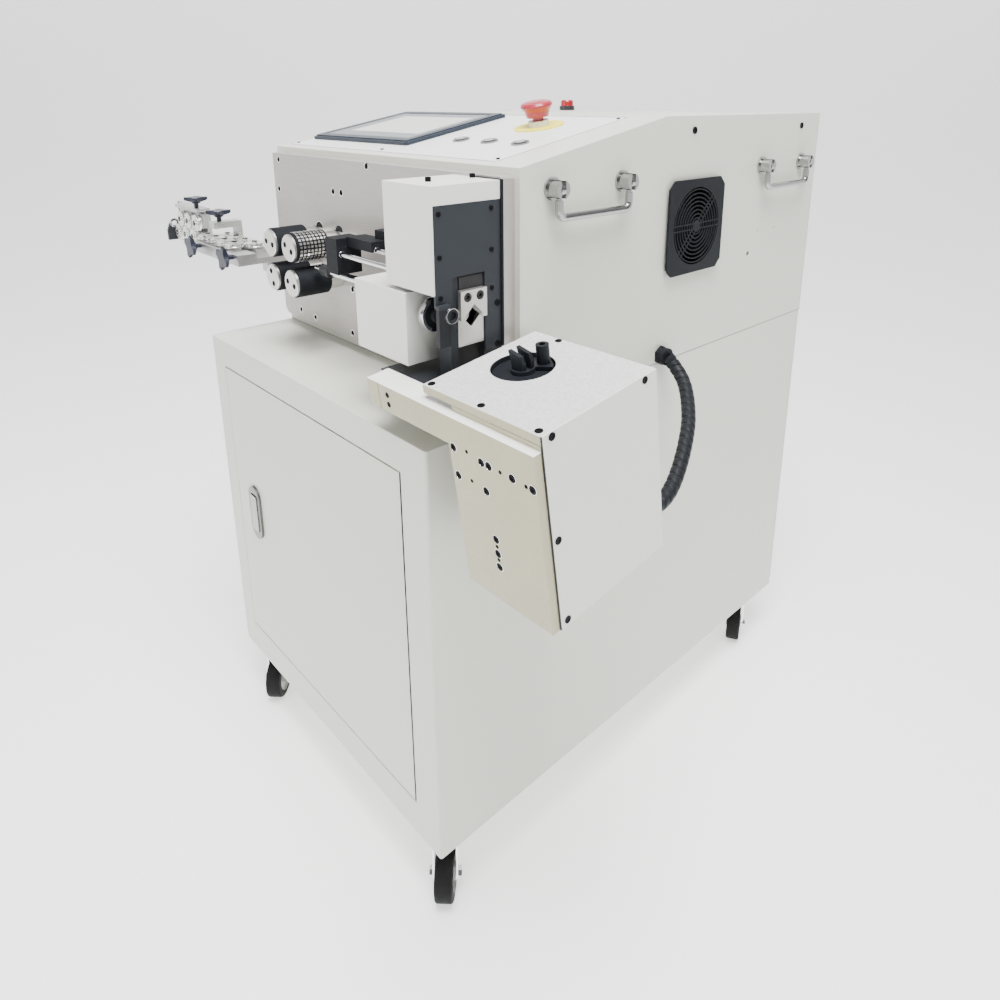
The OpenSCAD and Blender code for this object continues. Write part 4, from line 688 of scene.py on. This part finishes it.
# %% Node finishes
FINISH_OF = {
    "powder": ["cabinet_shell", "rear_door"],
    "housing": ["upper_housing"],
    "latch": ["latch_body"],
    "lever": ["latch_lever"],
    "door": ["cabinet_door"],
    "cover": ["head_covers"],
    "bend box": ["bend_box"],
    "wheels": ["straightener_frame", "straightener_slide_h", "straightener_slide_v"],
    "knife": ["upper_blade"],
    "lower knife": ["lower_blade"],
    "tube": ["guide_tube"],
    "guide": ["wire_guide"],
    "head": ["head_body"],
    "panel": ["control_panel"],
    "cream": ["bend_bracket"],
    "plate": ["front_plate"],
    "speckled": ["bend_top"],
    "alloy": ["drive_frame"],
    "core": ["bend_core"],
    "rotor": ["bend_rotor"],
    "steel": ["door_hinges", "roller_carriage", "button_1", "button_2", "button_3"],
    "chrome": ["castor_plates", "castor_fork_fl", "castor_fork_fr", "castor_fork_rl",
               "castor_fork_rr"],
    "satin": ["handle_bosses", "handle_front_right",
              "handle_rear_right", "handle_front_left", "handle_rear_left"],
    "black": ["fan_guard", "fan_rotor", "mains_inlet", "hose_glands"],
    "knob": ["knob_h1", "knob_h2", "knob_v1", "knob_v2"],
    "screen": ["touch_screen"],
    "stop": ["estop_head"],
    "screw": ["fasteners"],
    "roller": ["feed_roller_ul", "feed_roller_ur", "feed_roller_ll", "feed_roller_lr"],
    "collars": ["panel_collars"],
    "lamp": ["signal_lamp"],
    "wheel_fl": ["castor_wheel_fl"], "wheel_fr": ["castor_wheel_fr"],
    "wheel_rl": ["castor_wheel_rl"], "wheel_rr": ["castor_wheel_rr"],
}
EDGE_MM = {
    "cabinet_shell": 1.2, "cabinet_door": 0.8, "upper_housing": 1.2, "front_plate": 0.35,
    "bend_top": 0.9, "bend_bracket": 0.7, "bend_box": 0.7, "head_covers": 0.7,
    "control_panel": 0.5, "touch_screen": 0.8, "straightener_frame": 0.5, "wire_guide": 0.7,
    "rear_door": 0.8, "head_body": 0.4,
    "straightener_slide_h": 0.4, "straightener_slide_v": 0.4, "bend_core": 0.4,
    "knob_h1": 0.6, "knob_h2": 0.6, "knob_v1": 0.6, "knob_v2": 0.6,
}
WELD_GAP = 0.00002
FLAT_DEGREES = 0.5
SHARP_DEGREES = 40
FLAT_WEIGHT = 100


def dress(name, material):
    """Swap every material slot of a CAD node for one finish."""
    node = nodes[name]
    for index in range(max(1, len(node.material_slots))):
        if node.material_slots:
            node.material_slots[index].material = material
        else:
            node.data.materials.append(material)


def soften(name, width_mm):
    """Weld a CAD node's loose triangles and bevel its sharp edges."""
    modifiers = nodes[name].modifiers
    weld = modifiers.new("weld", "WELD")
    weld.merge_threshold = WELD_GAP
    merge = modifiers.new("merge", "DECIMATE")
    merge.decimate_type = "DISSOLVE"
    merge.angle_limit = math.radians(FLAT_DEGREES)
    bevel = modifiers.new("bevel", "BEVEL")
    bevel.width = width_mm * MM
    bevel.segments = 2
    bevel.limit_method = "ANGLE"
    bevel.angle_limit = math.radians(SHARP_DEGREES)
    flat = modifiers.new("flat", "WEIGHTED_NORMAL")
    flat.mode = "FACE_AREA"
    flat.weight = FLAT_WEIGHT


for key, names in FINISH_OF.items():
    for name in names:
        dress(name, materials[key])
for name, width in EDGE_MM.items():
    soften(name, width)
print("dressed", sum(len(names) for names in FINISH_OF.values()), "nodes")

# %% [markdown]
# ## The spiral-wrapped hose
# A plastic spiral is wound round the leads, so the outside steps up and down once a turn.
# The surface is a tube along the route. Its radius dips in a narrow groove that runs round
# it as a helix: radius = R - depth * exp(-(phase / width)^2), with the phase counted from the
# nearest groove.

# %% Hose
HOSE_ROUTE = [
    (14, 432, 716), (25, 435, 704), (45, 428, 690), (64, 412, 677), (82, 391, 664),
    (95, 373, 654), (107, 352, 644), (118, 330, 633), (128, 306, 620), (136, 282, 609),
    (141, 258, 602), (143, 234, 602), (143, 212, 608),
]
HOSE_R = 0.0100
HOSE_TURN = 0.0125
HOSE_GROOVE = 0.0014
HOSE_GROOVE_WIDTH = 0.11
HOSE_RINGS = 520
HOSE_SIDES = 28
SPAN_STEPS = 24


def smooth_path(corners, count):
    """Points at even steps along a Catmull-Rom curve through the corners."""
    p = np.array([list(spot(*c)) for c in corners])
    padded = np.vstack([2 * p[0] - p[1], p, 2 * p[-1] - p[-2]])
    t = np.linspace(0, 1, SPAN_STEPS, endpoint=False)[:, None]
    runs = []
    for k in range(len(p) - 1):
        a, b, c, d = padded[k:k + 4]
        runs.append(0.5 * (2 * b + (c - a) * t + (2 * a - 5 * b + 4 * c - d) * t ** 2
                           + (3 * b - a - 3 * c + d) * t ** 3))
    dense = np.vstack(runs + [p[-1:]])
    along = np.concatenate([[0], np.cumsum(np.linalg.norm(np.diff(dense, axis=0), axis=1))])
    even = np.linspace(0, along[-1], count)
    return np.stack([np.interp(even, along, dense[:, k]) for k in range(3)], axis=1), even


def carried_rings(path, sides, radius):
    """Rings of points square to a path, with a radius for each path point and side.

    The frame is carried along: each side vector is the last one with its part along the
    new direction taken away.
    """
    steps = np.gradient(path, axis=0)
    steps /= np.linalg.norm(steps, axis=1)[:, None]
    side = np.zeros_like(path)
    side[0] = axes_of(steps[0])[0]
    for k in range(1, len(path)):
        s = side[k - 1] - steps[k] * np.dot(side[k - 1], steps[k])
        side[k] = s / np.linalg.norm(s)
    other = np.cross(steps, side)
    angles = np.linspace(0, 2 * np.pi, sides, endpoint=False)
    ring = (np.cos(angles)[None, :, None] * side[:, None]
            + np.sin(angles)[None, :, None] * other[:, None])
    return path[:, None] + radius[:, :, None] * ring


hose_path, hose_along = smooth_path(HOSE_ROUTE, HOSE_RINGS)
hose_turns = np.linspace(0, 1, HOSE_SIDES, endpoint=False)
hose_phase = (hose_along[:, None] / HOSE_TURN + hose_turns[None]) % 1.0
hose_phase = np.minimum(hose_phase, 1 - hose_phase)
hose_radius = HOSE_R - HOSE_GROOVE * np.exp(-(hose_phase / HOSE_GROOVE_WIDTH) ** 2)
hose_points = carried_rings(hose_path, HOSE_SIDES, hose_radius).reshape(-1, 3)
materials["wrap"] = material_of("spiral wrap", dict(BLACK, rough=(0.4, 0.5), gloss=0.14))
hose = finish_piece("hose_spiral", hose_points, capped_faces(HOSE_RINGS, HOSE_SIDES),
                    materials["wrap"], "root")
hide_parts("hose")
print("hose", round(float(hose_along[-1]), 3), "m along its route")

# %% [markdown]
# ## Grip pads on the upper right roller
# That drum carries a steel grid over its rubber. Each pad is a small raised tile that bends
# with the drum: its corners sit at (angle, depth) on the drum's surface, and its top is a
# little smaller and stands 0.4 mm out.

# %% Grip pads
PAD_COLUMNS = 8
PAD_ROWS = 24
PAD_FROM = 54.5
PAD_PITCH = 5.8
PAD_SIZE = 3.9
PAD_OUT = 0.0004
PAD_SUNK = 0.0002
PAD_TAPER = 0.35
DRUM_R = 0.022


def grip_pads(x, z):
    """Tiles on a drum: each is a box bent round the axle, four corners below and four above."""
    column, row = np.meshgrid(np.arange(PAD_COLUMNS), np.arange(PAD_ROWS), indexing="ij")
    y0 = PAD_FROM + column.ravel() * PAD_PITCH
    a0 = row.ravel() * 2 * np.pi / PAD_ROWS
    width = 2 * np.pi / PAD_ROWS * PAD_SIZE / PAD_PITCH
    corner_y = np.array([0, PAD_SIZE, PAD_SIZE, 0])
    corner_a = np.array([0, 0, width, width])
    centre = np.array(spot(x, 0, z))
    tiles = []
    for radius, shrink in ((DRUM_R - PAD_SUNK, 0.0), (DRUM_R + PAD_OUT, PAD_TAPER)):
        inset_y = np.array([shrink, -shrink, -shrink, shrink])
        inset_a = np.array([shrink, shrink, -shrink, -shrink]) * MM / DRUM_R
        y = (y0[:, None] + corner_y + inset_y) * MM
        a = a0[:, None] + corner_a + inset_a
        tiles.append(np.stack([centre[0] + radius * np.cos(a), FRONT + y,
                               centre[2] + radius * np.sin(a)], axis=-1))
    points = np.concatenate(tiles, axis=1).reshape(-1, 3)
    first_corners = np.arange(len(y0))[:, None, None] * 2 * len(corner_y)
    return points, (first_corners + np.array(BOX_FACES)[None]).reshape(-1, 4).tolist()


pad_points, pad_faces = grip_pads(*ROLLER_SPOTS["ur"])
pads = finish_piece("roller_grip_pads", pad_points, pad_faces, materials["steel"], "roller_ur",
                    smooth=False)
print("pads", len(pad_faces) // len(BOX_FACES))

# %% [markdown]
# ## Screws and sockets
# The front plate and the bracket are full of countersunk screws, the roller caps have two
# screws each, and every straightening wheel shows the socket of its stud. All are one turned
# form with a sunk six-sided socket. The screw holes in the plate and the bracket also have a
# polished countersink, and its chrome ring also paints the countersink's highlight.

# %% Turned screw heads
HEAD_EDGE = 0.0004
SOCKET_SHARE = 0.58
SINK_SIDES = 28
SINK_FOOT = 0.0004
SINK_CREST = 0.00025
SINK_RIM = 0.00012


def socket_head(centre, direction, radius, sides=24, depth=0.003):
    """Turned screw head with a sunk six-sided socket, its top face on the centre.

    Rings go in from the rim: the first three round over to the flat top, the next two have the
    radius of a hexagon, r / cos(a - 60 * round(a / 60)), and go down, and the last ends the
    socket's floor.
    """
    angles, ring, w = ring_round(direction, sides)
    sixth = np.pi / 3
    hexagon = np.cos(sixth / 2) / np.cos(angles - sixth * np.round(angles / sixth))
    steps = [(1.0, -depth, 0), (1.0, -HEAD_EDGE, 0), (0.93, 0.0, 0), (SOCKET_SHARE, 0.0, 1),
             (SOCKET_SHARE, -0.6 * depth, 1), (0.05, -0.65 * depth, 0)]
    rows = []
    for scale, height, is_hex in steps:
        reach = radius * scale * (hexagon if is_hex else np.ones(sides))
        rows.append(np.asarray(centre, float) + height * w + reach[:, None] * ring)
    return np.concatenate(rows), capped_faces(len(steps), sides)


def sink_highlight_ring(centre, direction, radius, width):
    """Polished ring round a hole, also a painted highlight on the countersink: a low closed band,
    r from radius + width in to radius.
    """
    _, ring, w = ring_round(direction, SINK_SIDES)
    steps = [(1.0, -SINK_FOOT), (1.0, SINK_RIM), (0.2, SINK_CREST), (0, 0.0), (0, -SINK_FOOT)]
    rows = [np.asarray(centre, float) + height * w + (radius + width * out) * ring
            for out, height in steps]
    return np.concatenate(rows), band_faces(len(steps), SINK_SIDES)


def fit_heads(name, heads, body, finish="screw"):
    """Several turned forms as one piece that rides on a body."""
    piece = finish_piece(name, *joined(heads), materials[finish], body, smooth=False)
    return piece


print("screw heads ready")

# %% Plate and bracket screws
PLATE_SCREWS = [
    (PLATE_EDGE + 21, 263), (-290, 268), (PLATE_EDGE + 14, 215), (-386, 225), (-363, 225),
    (PLATE_EDGE + 57, 15), (PLATE_EDGE + 105, 11), (-348, 81), (-356, 10), (-120, 262),
]
PLATE_FOOT = 725
PLATE_FACE = 125
PLATE_SCREW_R = 0.0043
SCREW_DEPTH = 0.0015
BRACKET_SCREWS = [
    (-123, -36), (-79, -37), (-68, -37), (-34, -37), (-6, -38), (-121, -69), (-77, -70),
    (-72, -127), (-72, -145), (-72, -162),
]
BRACKET_PINS = [(-101, -33), (-51, -37), (-15, -38), (-99, -67), (-72, -136), (-72, -153)]
ARM_PINS = [(-59, -27), (-59, -39)]
BRACKET_SCREW_R = 0.0049
BRACKET_PIN_R = 0.0024
ARM_PIN_R = 0.0038
PIN_SIDES = 16
PIN_DEPTH = 0.001
PLATE_RIM = 0.0016
BRACKET_RIM = 0.35 * PLATE_RIM
PROUD = 0.0002
BRACKET_FACE = -10

plate_at = [spot(x, PLATE_FACE, PLATE_FOOT + z) for x, z in PLATE_SCREWS]
proud = PROUD * Vector(TO_FRONT)
fit_heads("plate_screws", [socket_head(at + proud, TO_FRONT, PLATE_SCREW_R, depth=SCREW_DEPTH)
                           for at in plate_at], "root")
# Chrome countersink rings: polished metal that also paints the highlight on each countersink.
fit_heads("plate_sink_highlights", [sink_highlight_ring(at, TO_FRONT, PLATE_SCREW_R, PLATE_RIM) for at in plate_at],
          "root", "chrome")


def on_bracket(x, z):
    """Place on the bracket's front face, from its right edge and its top."""
    return on_bend(BEND_W + x, BRACKET_FACE, BRACKET_TOP + z)


bracket_at = [on_bracket(x, z) for x, z in BRACKET_SCREWS]
pins_at = [on_bracket(x, z) for x, z in BRACKET_PINS]
arm_at = [on_bend(x, BRACKET_FACE, z) for x, z in ARM_PINS]
proud = PROUD * Vector(BEND_FRONT)
fit_heads("bracket_screws", [socket_head(at + proud, BEND_FRONT, BRACKET_SCREW_R,
                                         depth=SCREW_DEPTH) for at in bracket_at]
          + [socket_head(at + proud, BEND_FRONT, radius, sides=PIN_SIDES, depth=PIN_DEPTH)
             for places, radius in ((pins_at, BRACKET_PIN_R), (arm_at, ARM_PIN_R))
             for at in places], "root")
fit_heads("bracket_sink_highlights", [sink_highlight_ring(at, BEND_FRONT, BRACKET_SCREW_R, BRACKET_RIM)
                            for at in bracket_at], "root", "chrome")
print("plate screws", len(plate_at), "bracket screws", len(bracket_at + pins_at + arm_at))

# %% Roller cap screws and wheel sockets
CAP_FACE = 46
CAP_SCREW_R = 0.0044
CAP_SCREW_AT = 10
CAP_SCREW_OUT = 0.3
CAP_SCREW_DEPTH = 0.0012
ROLLER_TURN = {"ul": 10, "ur": 25, "ll": 75, "lr": 15}
for key, (x, z) in ROLLER_SPOTS.items():
    heads = []
    for half_turn in (0, 180):
        a = math.radians(ROLLER_TURN[key] + half_turn)
        heads.append(socket_head(spot(x + CAP_SCREW_AT * math.cos(a), CAP_FACE - CAP_SCREW_OUT,
                                      z - CAP_SCREW_AT * math.sin(a)), TO_FRONT,
                                 CAP_SCREW_R, depth=CAP_SCREW_DEPTH))
    fit_heads("cap_screws_" + key, heads, "roller_" + key)

ROW_OFF = 14
WHEEL_PITCH = 38
FLAT_X = PLATE_EDGE - 27
TALL_X = FLAT_X - 235
STUD_TOP = 6.5
STUD_CAP = 0.3
STUD_R = 0.0049
STUD_DEPTH = 0.001
FLAT_STUDS = 4
TALL_STUDS = 3
flat_far = [spot(FLAT_X - i * WHEEL_PITCH, WIRE_Y + ROW_OFF, WIRE_Z + STUD_TOP + STUD_CAP)
            for i in range(FLAT_STUDS)]
flat_near = [spot(FLAT_X - (i + 0.5) * WHEEL_PITCH, WIRE_Y - ROW_OFF,
                  WIRE_Z + STUD_TOP + STUD_CAP) for i in range(FLAT_STUDS)]
tall_low = [spot(TALL_X - i * WHEEL_PITCH, WIRE_Y - STUD_TOP - STUD_CAP, WIRE_Z - ROW_OFF)
            for i in range(TALL_STUDS)]
tall_top = [spot(TALL_X - (i - 0.5) * WHEEL_PITCH, WIRE_Y - STUD_TOP - STUD_CAP,
                 WIRE_Z + ROW_OFF) for i in range(TALL_STUDS)]
for name, places, direction, body in (
        ("studs_flat_far", flat_far, UP, "root"), ("studs_flat_near", flat_near, UP, "flat_row"),
        ("studs_low", tall_low, TO_FRONT, "root"),
        ("studs_top", tall_top, TO_FRONT, "upright_row")):
    fit_heads(name, [socket_head(at, direction, STUD_R, depth=STUD_DEPTH) for at in places],
              body)
print("studs", len(flat_far + flat_near + tall_low + tall_top))

# %% [markdown]
# ## Painted shade in the slots above the rollers
# Behind the upper rollers the tops of the slots that let their shafts rise show as two black
# arches, which paint the shade inside the slots, with chrome rims for their bright chamfer.
# Each is a thin half disc on the plate, its edge at angle a lying at (x + R cos a,
# z + 0.8 R sin a). They stay above the lifted shafts.

# %% Slot arches
ARCH_R = 10.5
ARCH_RIM = 1.2
ARCH_FOOT = 890.6
ARCH_RISE = 0.8
ARCH_POINTS = 17
ARCH_RIGHT = 11.5
ARCH_OUT = 0.3
RIM_OUT = 0.15
ARCH_SUNK = 0.2


def half_disc(x, radius, y_front, y_back):
    """Closed half disc between two depths: a row of points at its back, then one in front."""
    angles = np.linspace(0, np.pi, ARCH_POINTS)
    rows = []
    for y in (y_back, y_front):
        rows.append(np.stack([RIGHT + (x + radius * np.cos(angles)) * MM,
                              np.full(ARCH_POINTS, FRONT + y * MM),
                              (ARCH_FOOT + ARCH_RISE * radius * np.sin(angles)) * MM], axis=1))
    return np.concatenate(rows), capped_faces(len(rows), ARCH_POINTS)


# Painted shade: black half discs stand for the shade inside the slot tops.
shade_arches, rims = ([half_disc(ROLLER_SPOTS[key][0] + ARCH_RIGHT, radius, PLATE_FACE - out,
                           PLATE_FACE + ARCH_SUNK) for key in ("ul", "ur")]
                for radius, out in ((ARCH_R, ARCH_OUT), (ARCH_R + ARCH_RIM, RIM_OUT)))
fit_heads("slot_shade_arches", shade_arches, "root", "black")
fit_heads("slot_rims", rims, "root", "chrome")
print("shade_arches", len(shade_arches))

# %% [markdown]
# ## Painted shadow behind the head
# A thin black strip paints the shadow in the gap between the white cover and the housing's
# corner. It is a thin closed box whose corners come from a low and a high corner.

# %% Painted shadow strip
SHADOW_STRIP_BOX = ((-60, 121.5, 800), (-5.6, 124.9, 996))
SHADOW_STRIP_BEVEL = 0.0004


def closed_box(low_corner, high_corner):
    """Eight corners and six faces of a box, here a thin strip of painted shadow."""
    lo = np.asarray(low_corner, float)
    hi = np.asarray(high_corner, float)
    pick = np.array([[0, 0, 0], [1, 0, 0], [1, 1, 0], [0, 1, 0],
                     [0, 0, 1], [1, 0, 1], [1, 1, 1], [0, 1, 1]])
    corners = np.where(pick == 1, hi, lo)
    return corners * MM + np.array([RIGHT, FRONT, 0]), BOX_FACES


# Painted shadow: a black strip in the gap between the head's cover and the housing's corner.
shadow_strip = fit_heads("head_gap_shadow", [closed_box(*SHADOW_STRIP_BOX)], "root", "black")
shadow_strip_bevel = shadow_strip.modifiers.new("edge", "BEVEL")
shadow_strip_bevel.width = SHADOW_STRIP_BEVEL
shadow_strip_bevel.segments = 2
print("seam plate", SHADOW_STRIP_BOX)

# %% [markdown]
# ## Seam round the control panel
# The panel is a plate screwed on the slope, with a fine dark joint round it. The joint is a
# closed band along a rounded rectangle: each corner point is its centre plus radius times
# (cos a, sin a), and the band's outer loop has the radius 1.4 mm larger.

# %% Panel joint
PANEL_X = (-582, -60)
PANEL_S = (18, 268)
PANEL_CORNER = 4
PANEL_GAP = 0.05
JOINT = 1.4
JOINT_LOW = -0.2
JOINT_TOP = 0.15


def rounded_loop(x_range, s_range, radius, out, steps=6):
    """Points (x, s) of a rounded rectangle, moved outwards."""
    turn = np.linspace(0, np.pi / 2, steps)
    rows = []
    for k, (x, s) in enumerate(((x_range[1], s_range[1]), (x_range[0], s_range[1]),
                                (x_range[0], s_range[0]), (x_range[1], s_range[0]))):
        inward = np.array([-1 if k in (0, 3) else 1, -1 if k in (0, 1) else 1]) * radius
        a = turn + k * np.pi / 2
        rows.append(np.array([x, s]) + inward
                    + (radius + out) * np.stack([np.cos(a), np.sin(a)], axis=1))
    return np.concatenate(rows)


def slope_band(loops, heights):
    """Closed band on the slope from loops of (x, s) points and a height for each."""
    rows = []
    for loop, n in zip(loops, heights):
        base = np.array(on_slope(0, 0, n))
        rows.append(base + np.stack([loop[:, 0], loop[:, 1] * math.cos(SLOPE),
                                     loop[:, 1] * math.sin(SLOPE)], axis=1) * MM)
    return np.concatenate(rows), band_faces(len(loops), len(loops[0]))


inner = rounded_loop(PANEL_X, PANEL_S, PANEL_CORNER, PANEL_GAP)
outer = rounded_loop(PANEL_X, PANEL_S, PANEL_CORNER, PANEL_GAP + JOINT)
materials["joint"] = material_of("panel joint", dict(
    base=(0.10, 0.10, 0.105), shade=(0.16, 0.16, 0.16), rough=(0.5, 0.6), gloss=0.2))
joint_band = slope_band([inner, outer, outer, inner], [JOINT_LOW, JOINT_LOW, JOINT_TOP, JOINT_TOP])
fit_heads("panel_joint", [joint_band], "root", "joint")
print("joint points", 2 * len(inner))

# %% [markdown]
# ## The screen's glass
# Inside its dark rim the touch unit has a grey glass border and a paler display that is set
# off to the right. Both are thin plates on the slope, the display a little higher.

# %% Display
SCREEN = (-434.0, 155.0)
BORDER_SIZE = (237.0, 161.0)
BORDER_N = (5.5, 6.3)
DISPLAY_AT = (-424.0, 157.0)
DISPLAY_SIZE = (190.0, 112.0)
DISPLAY_N = (6.2, 6.5)


def slope_plate(centre, size, n_low, n_high):
    """Box on the slope between two heights, as eight corners and six faces."""
    corners = []
    for n in (n_low, n_high):
        for sx, ss in ((-1, -1), (1, -1), (1, 1), (-1, 1)):
            corners.append(list(on_slope(centre[0] + sx * size[0] / 2,
                                         centre[1] + ss * size[1] / 2, n)))
    return corners, BOX_FACES


materials["border"] = material_of("display border", dict(
    base=(0.18, 0.195, 0.215), shade=(0.24, 0.255, 0.275), rough=(0.3, 0.4), bump=0.0, cloud=8,
    gloss=0.2))
materials["display"] = material_of("display glass", dict(
    base=(0.62, 0.61, 0.57), shade=(0.54, 0.54, 0.515), rough=(0.14, 0.2), bump=0.0, cloud=8,
    gloss=0.4))
border = finish_piece("display_border", *slope_plate(SCREEN, BORDER_SIZE, *BORDER_N),
                      materials["border"], "root", smooth=False)
display = finish_piece("display_glass", *slope_plate(DISPLAY_AT, DISPLAY_SIZE, *DISPLAY_N),
                       materials["display"], "root", smooth=False)
print("display", DISPLAY_SIZE)

# %% [markdown]
# ## Studio
# The photograph stands on plain white. Here a pale floor sweeps up into a wall far behind, so
# that no horizon shows. Its profile is flat, then a quarter circle, then upright:
# height = R * (1 - cos a) and distance = D + R * sin a, with a from 0 to 90 degrees.

# %% Sweep
SWEEP_FLAT = 3.5
SWEEP_R = 2.5
SWEEP_HALF = 30.0
SWEEP_NEAR = -30.0
SWEEP_TOP = 7.0
SWEEP_STEPS = 24
FLOOR_GLOW = 0.9


def sweep_points():
    """Grid of the sweep, square to the camera's direction: profile by width."""
    angles = np.linspace(0, np.pi / 2, SWEEP_STEPS)
    away = np.concatenate([[SWEEP_NEAR], SWEEP_FLAT + SWEEP_R * np.sin(angles),
                           [SWEEP_FLAT + SWEEP_R]])
    up = np.concatenate([[0.0], SWEEP_R * (1 - np.cos(angles)), [SWEEP_TOP]])
    across = np.array([-SWEEP_HALF, SWEEP_HALF])
    yaw = math.radians(CAMERA_YAW)
    ahead = np.array([-math.sin(yaw), math.cos(yaw), 0])
    right = np.array([math.cos(yaw), math.sin(yaw), 0])
    points = (away[:, None, None] * ahead + across[None, :, None] * right
              + up[:, None, None] * np.array([0, 0, 1]))
    return points.reshape(-1, 3), grid_faces(len(away), 2, wrap=False)


floor_finish = material_of("floor", dict(base=(0.93, 0.93, 0.93), shade=(0.90, 0.90, 0.90),
                                         rough=(0.7, 0.8), cloud=1, bump=0.0))
floor_shader = floor_finish.node_tree.nodes["Principled BSDF"]
floor_shader.inputs["Emission Color"].default_value = (1, 1, 1, 1)
floor_shader.inputs["Emission Strength"].default_value = FLOOR_GLOW
floor = finish_piece("floor", *sweep_points(), floor_finish, None)
print("sweep", len(floor.data.vertices), "points")

# %% [markdown]
# One broad light hangs above, a second stands in front on the left and a third on the right.
# The top faces come out brightest, then the right side, then the front. The sky fills the
# shadows: its strength grows from the horizon up.

# %% Lights
LIGHTS = {
    "top light": ((0.9, -0.6, 3.3), (0, 0, 0.6), 1.5, 215),
    "front light": ((-1.2, -3.4, 1.9), (0, 0, 0.5), 2.2, 48),
    "side light": ((3.4, -0.2, 2.2), (0, 0, 0.5), 2.2, 8),
}
SKY_COLOUR = (0.97, 0.985, 1.0, 1)
SKY_STRENGTH = (0.14, 0.6)
SKY_FULL_AT = 0.8


def area_light(name, at, towards, size, power):
    """Square area light at one place, turned towards another."""
    data = bpy.data.lights.new(name, "AREA")
    data.size = size
    data.energy = power
    lamp = bpy.data.objects.new(name, data)
    bpy.context.scene.collection.objects.link(lamp)
    lamp.location = at
    lamp.rotation_euler = (Vector(towards) - Vector(at)).to_track_quat("-Z", "Y").to_euler()


for name, (at, towards, size, power) in LIGHTS.items():
    area_light(name, at, towards, size, power)
print("lights", len(LIGHTS))

# %% Sky
world = bpy.data.worlds.new("studio sky")
bpy.context.scene.world = world
world.use_nodes = True
sky = world.node_tree
view = add_node(sky, "ShaderNodeTexCoord")
parts = add_node(sky, "ShaderNodeSeparateXYZ", {0: view.outputs["Generated"]})
rise = add_node(sky, "ShaderNodeMapRange",
                {"Value": parts.outputs["Z"], "From Min": 0.0, "From Max": SKY_FULL_AT,
                 "To Min": SKY_STRENGTH[0], "To Max": SKY_STRENGTH[1]})
sky.links.new(rise.outputs[0], sky.nodes["Background"].inputs["Strength"])
sky.nodes["Background"].inputs["Color"].default_value = SKY_COLOUR
print("studio ready")
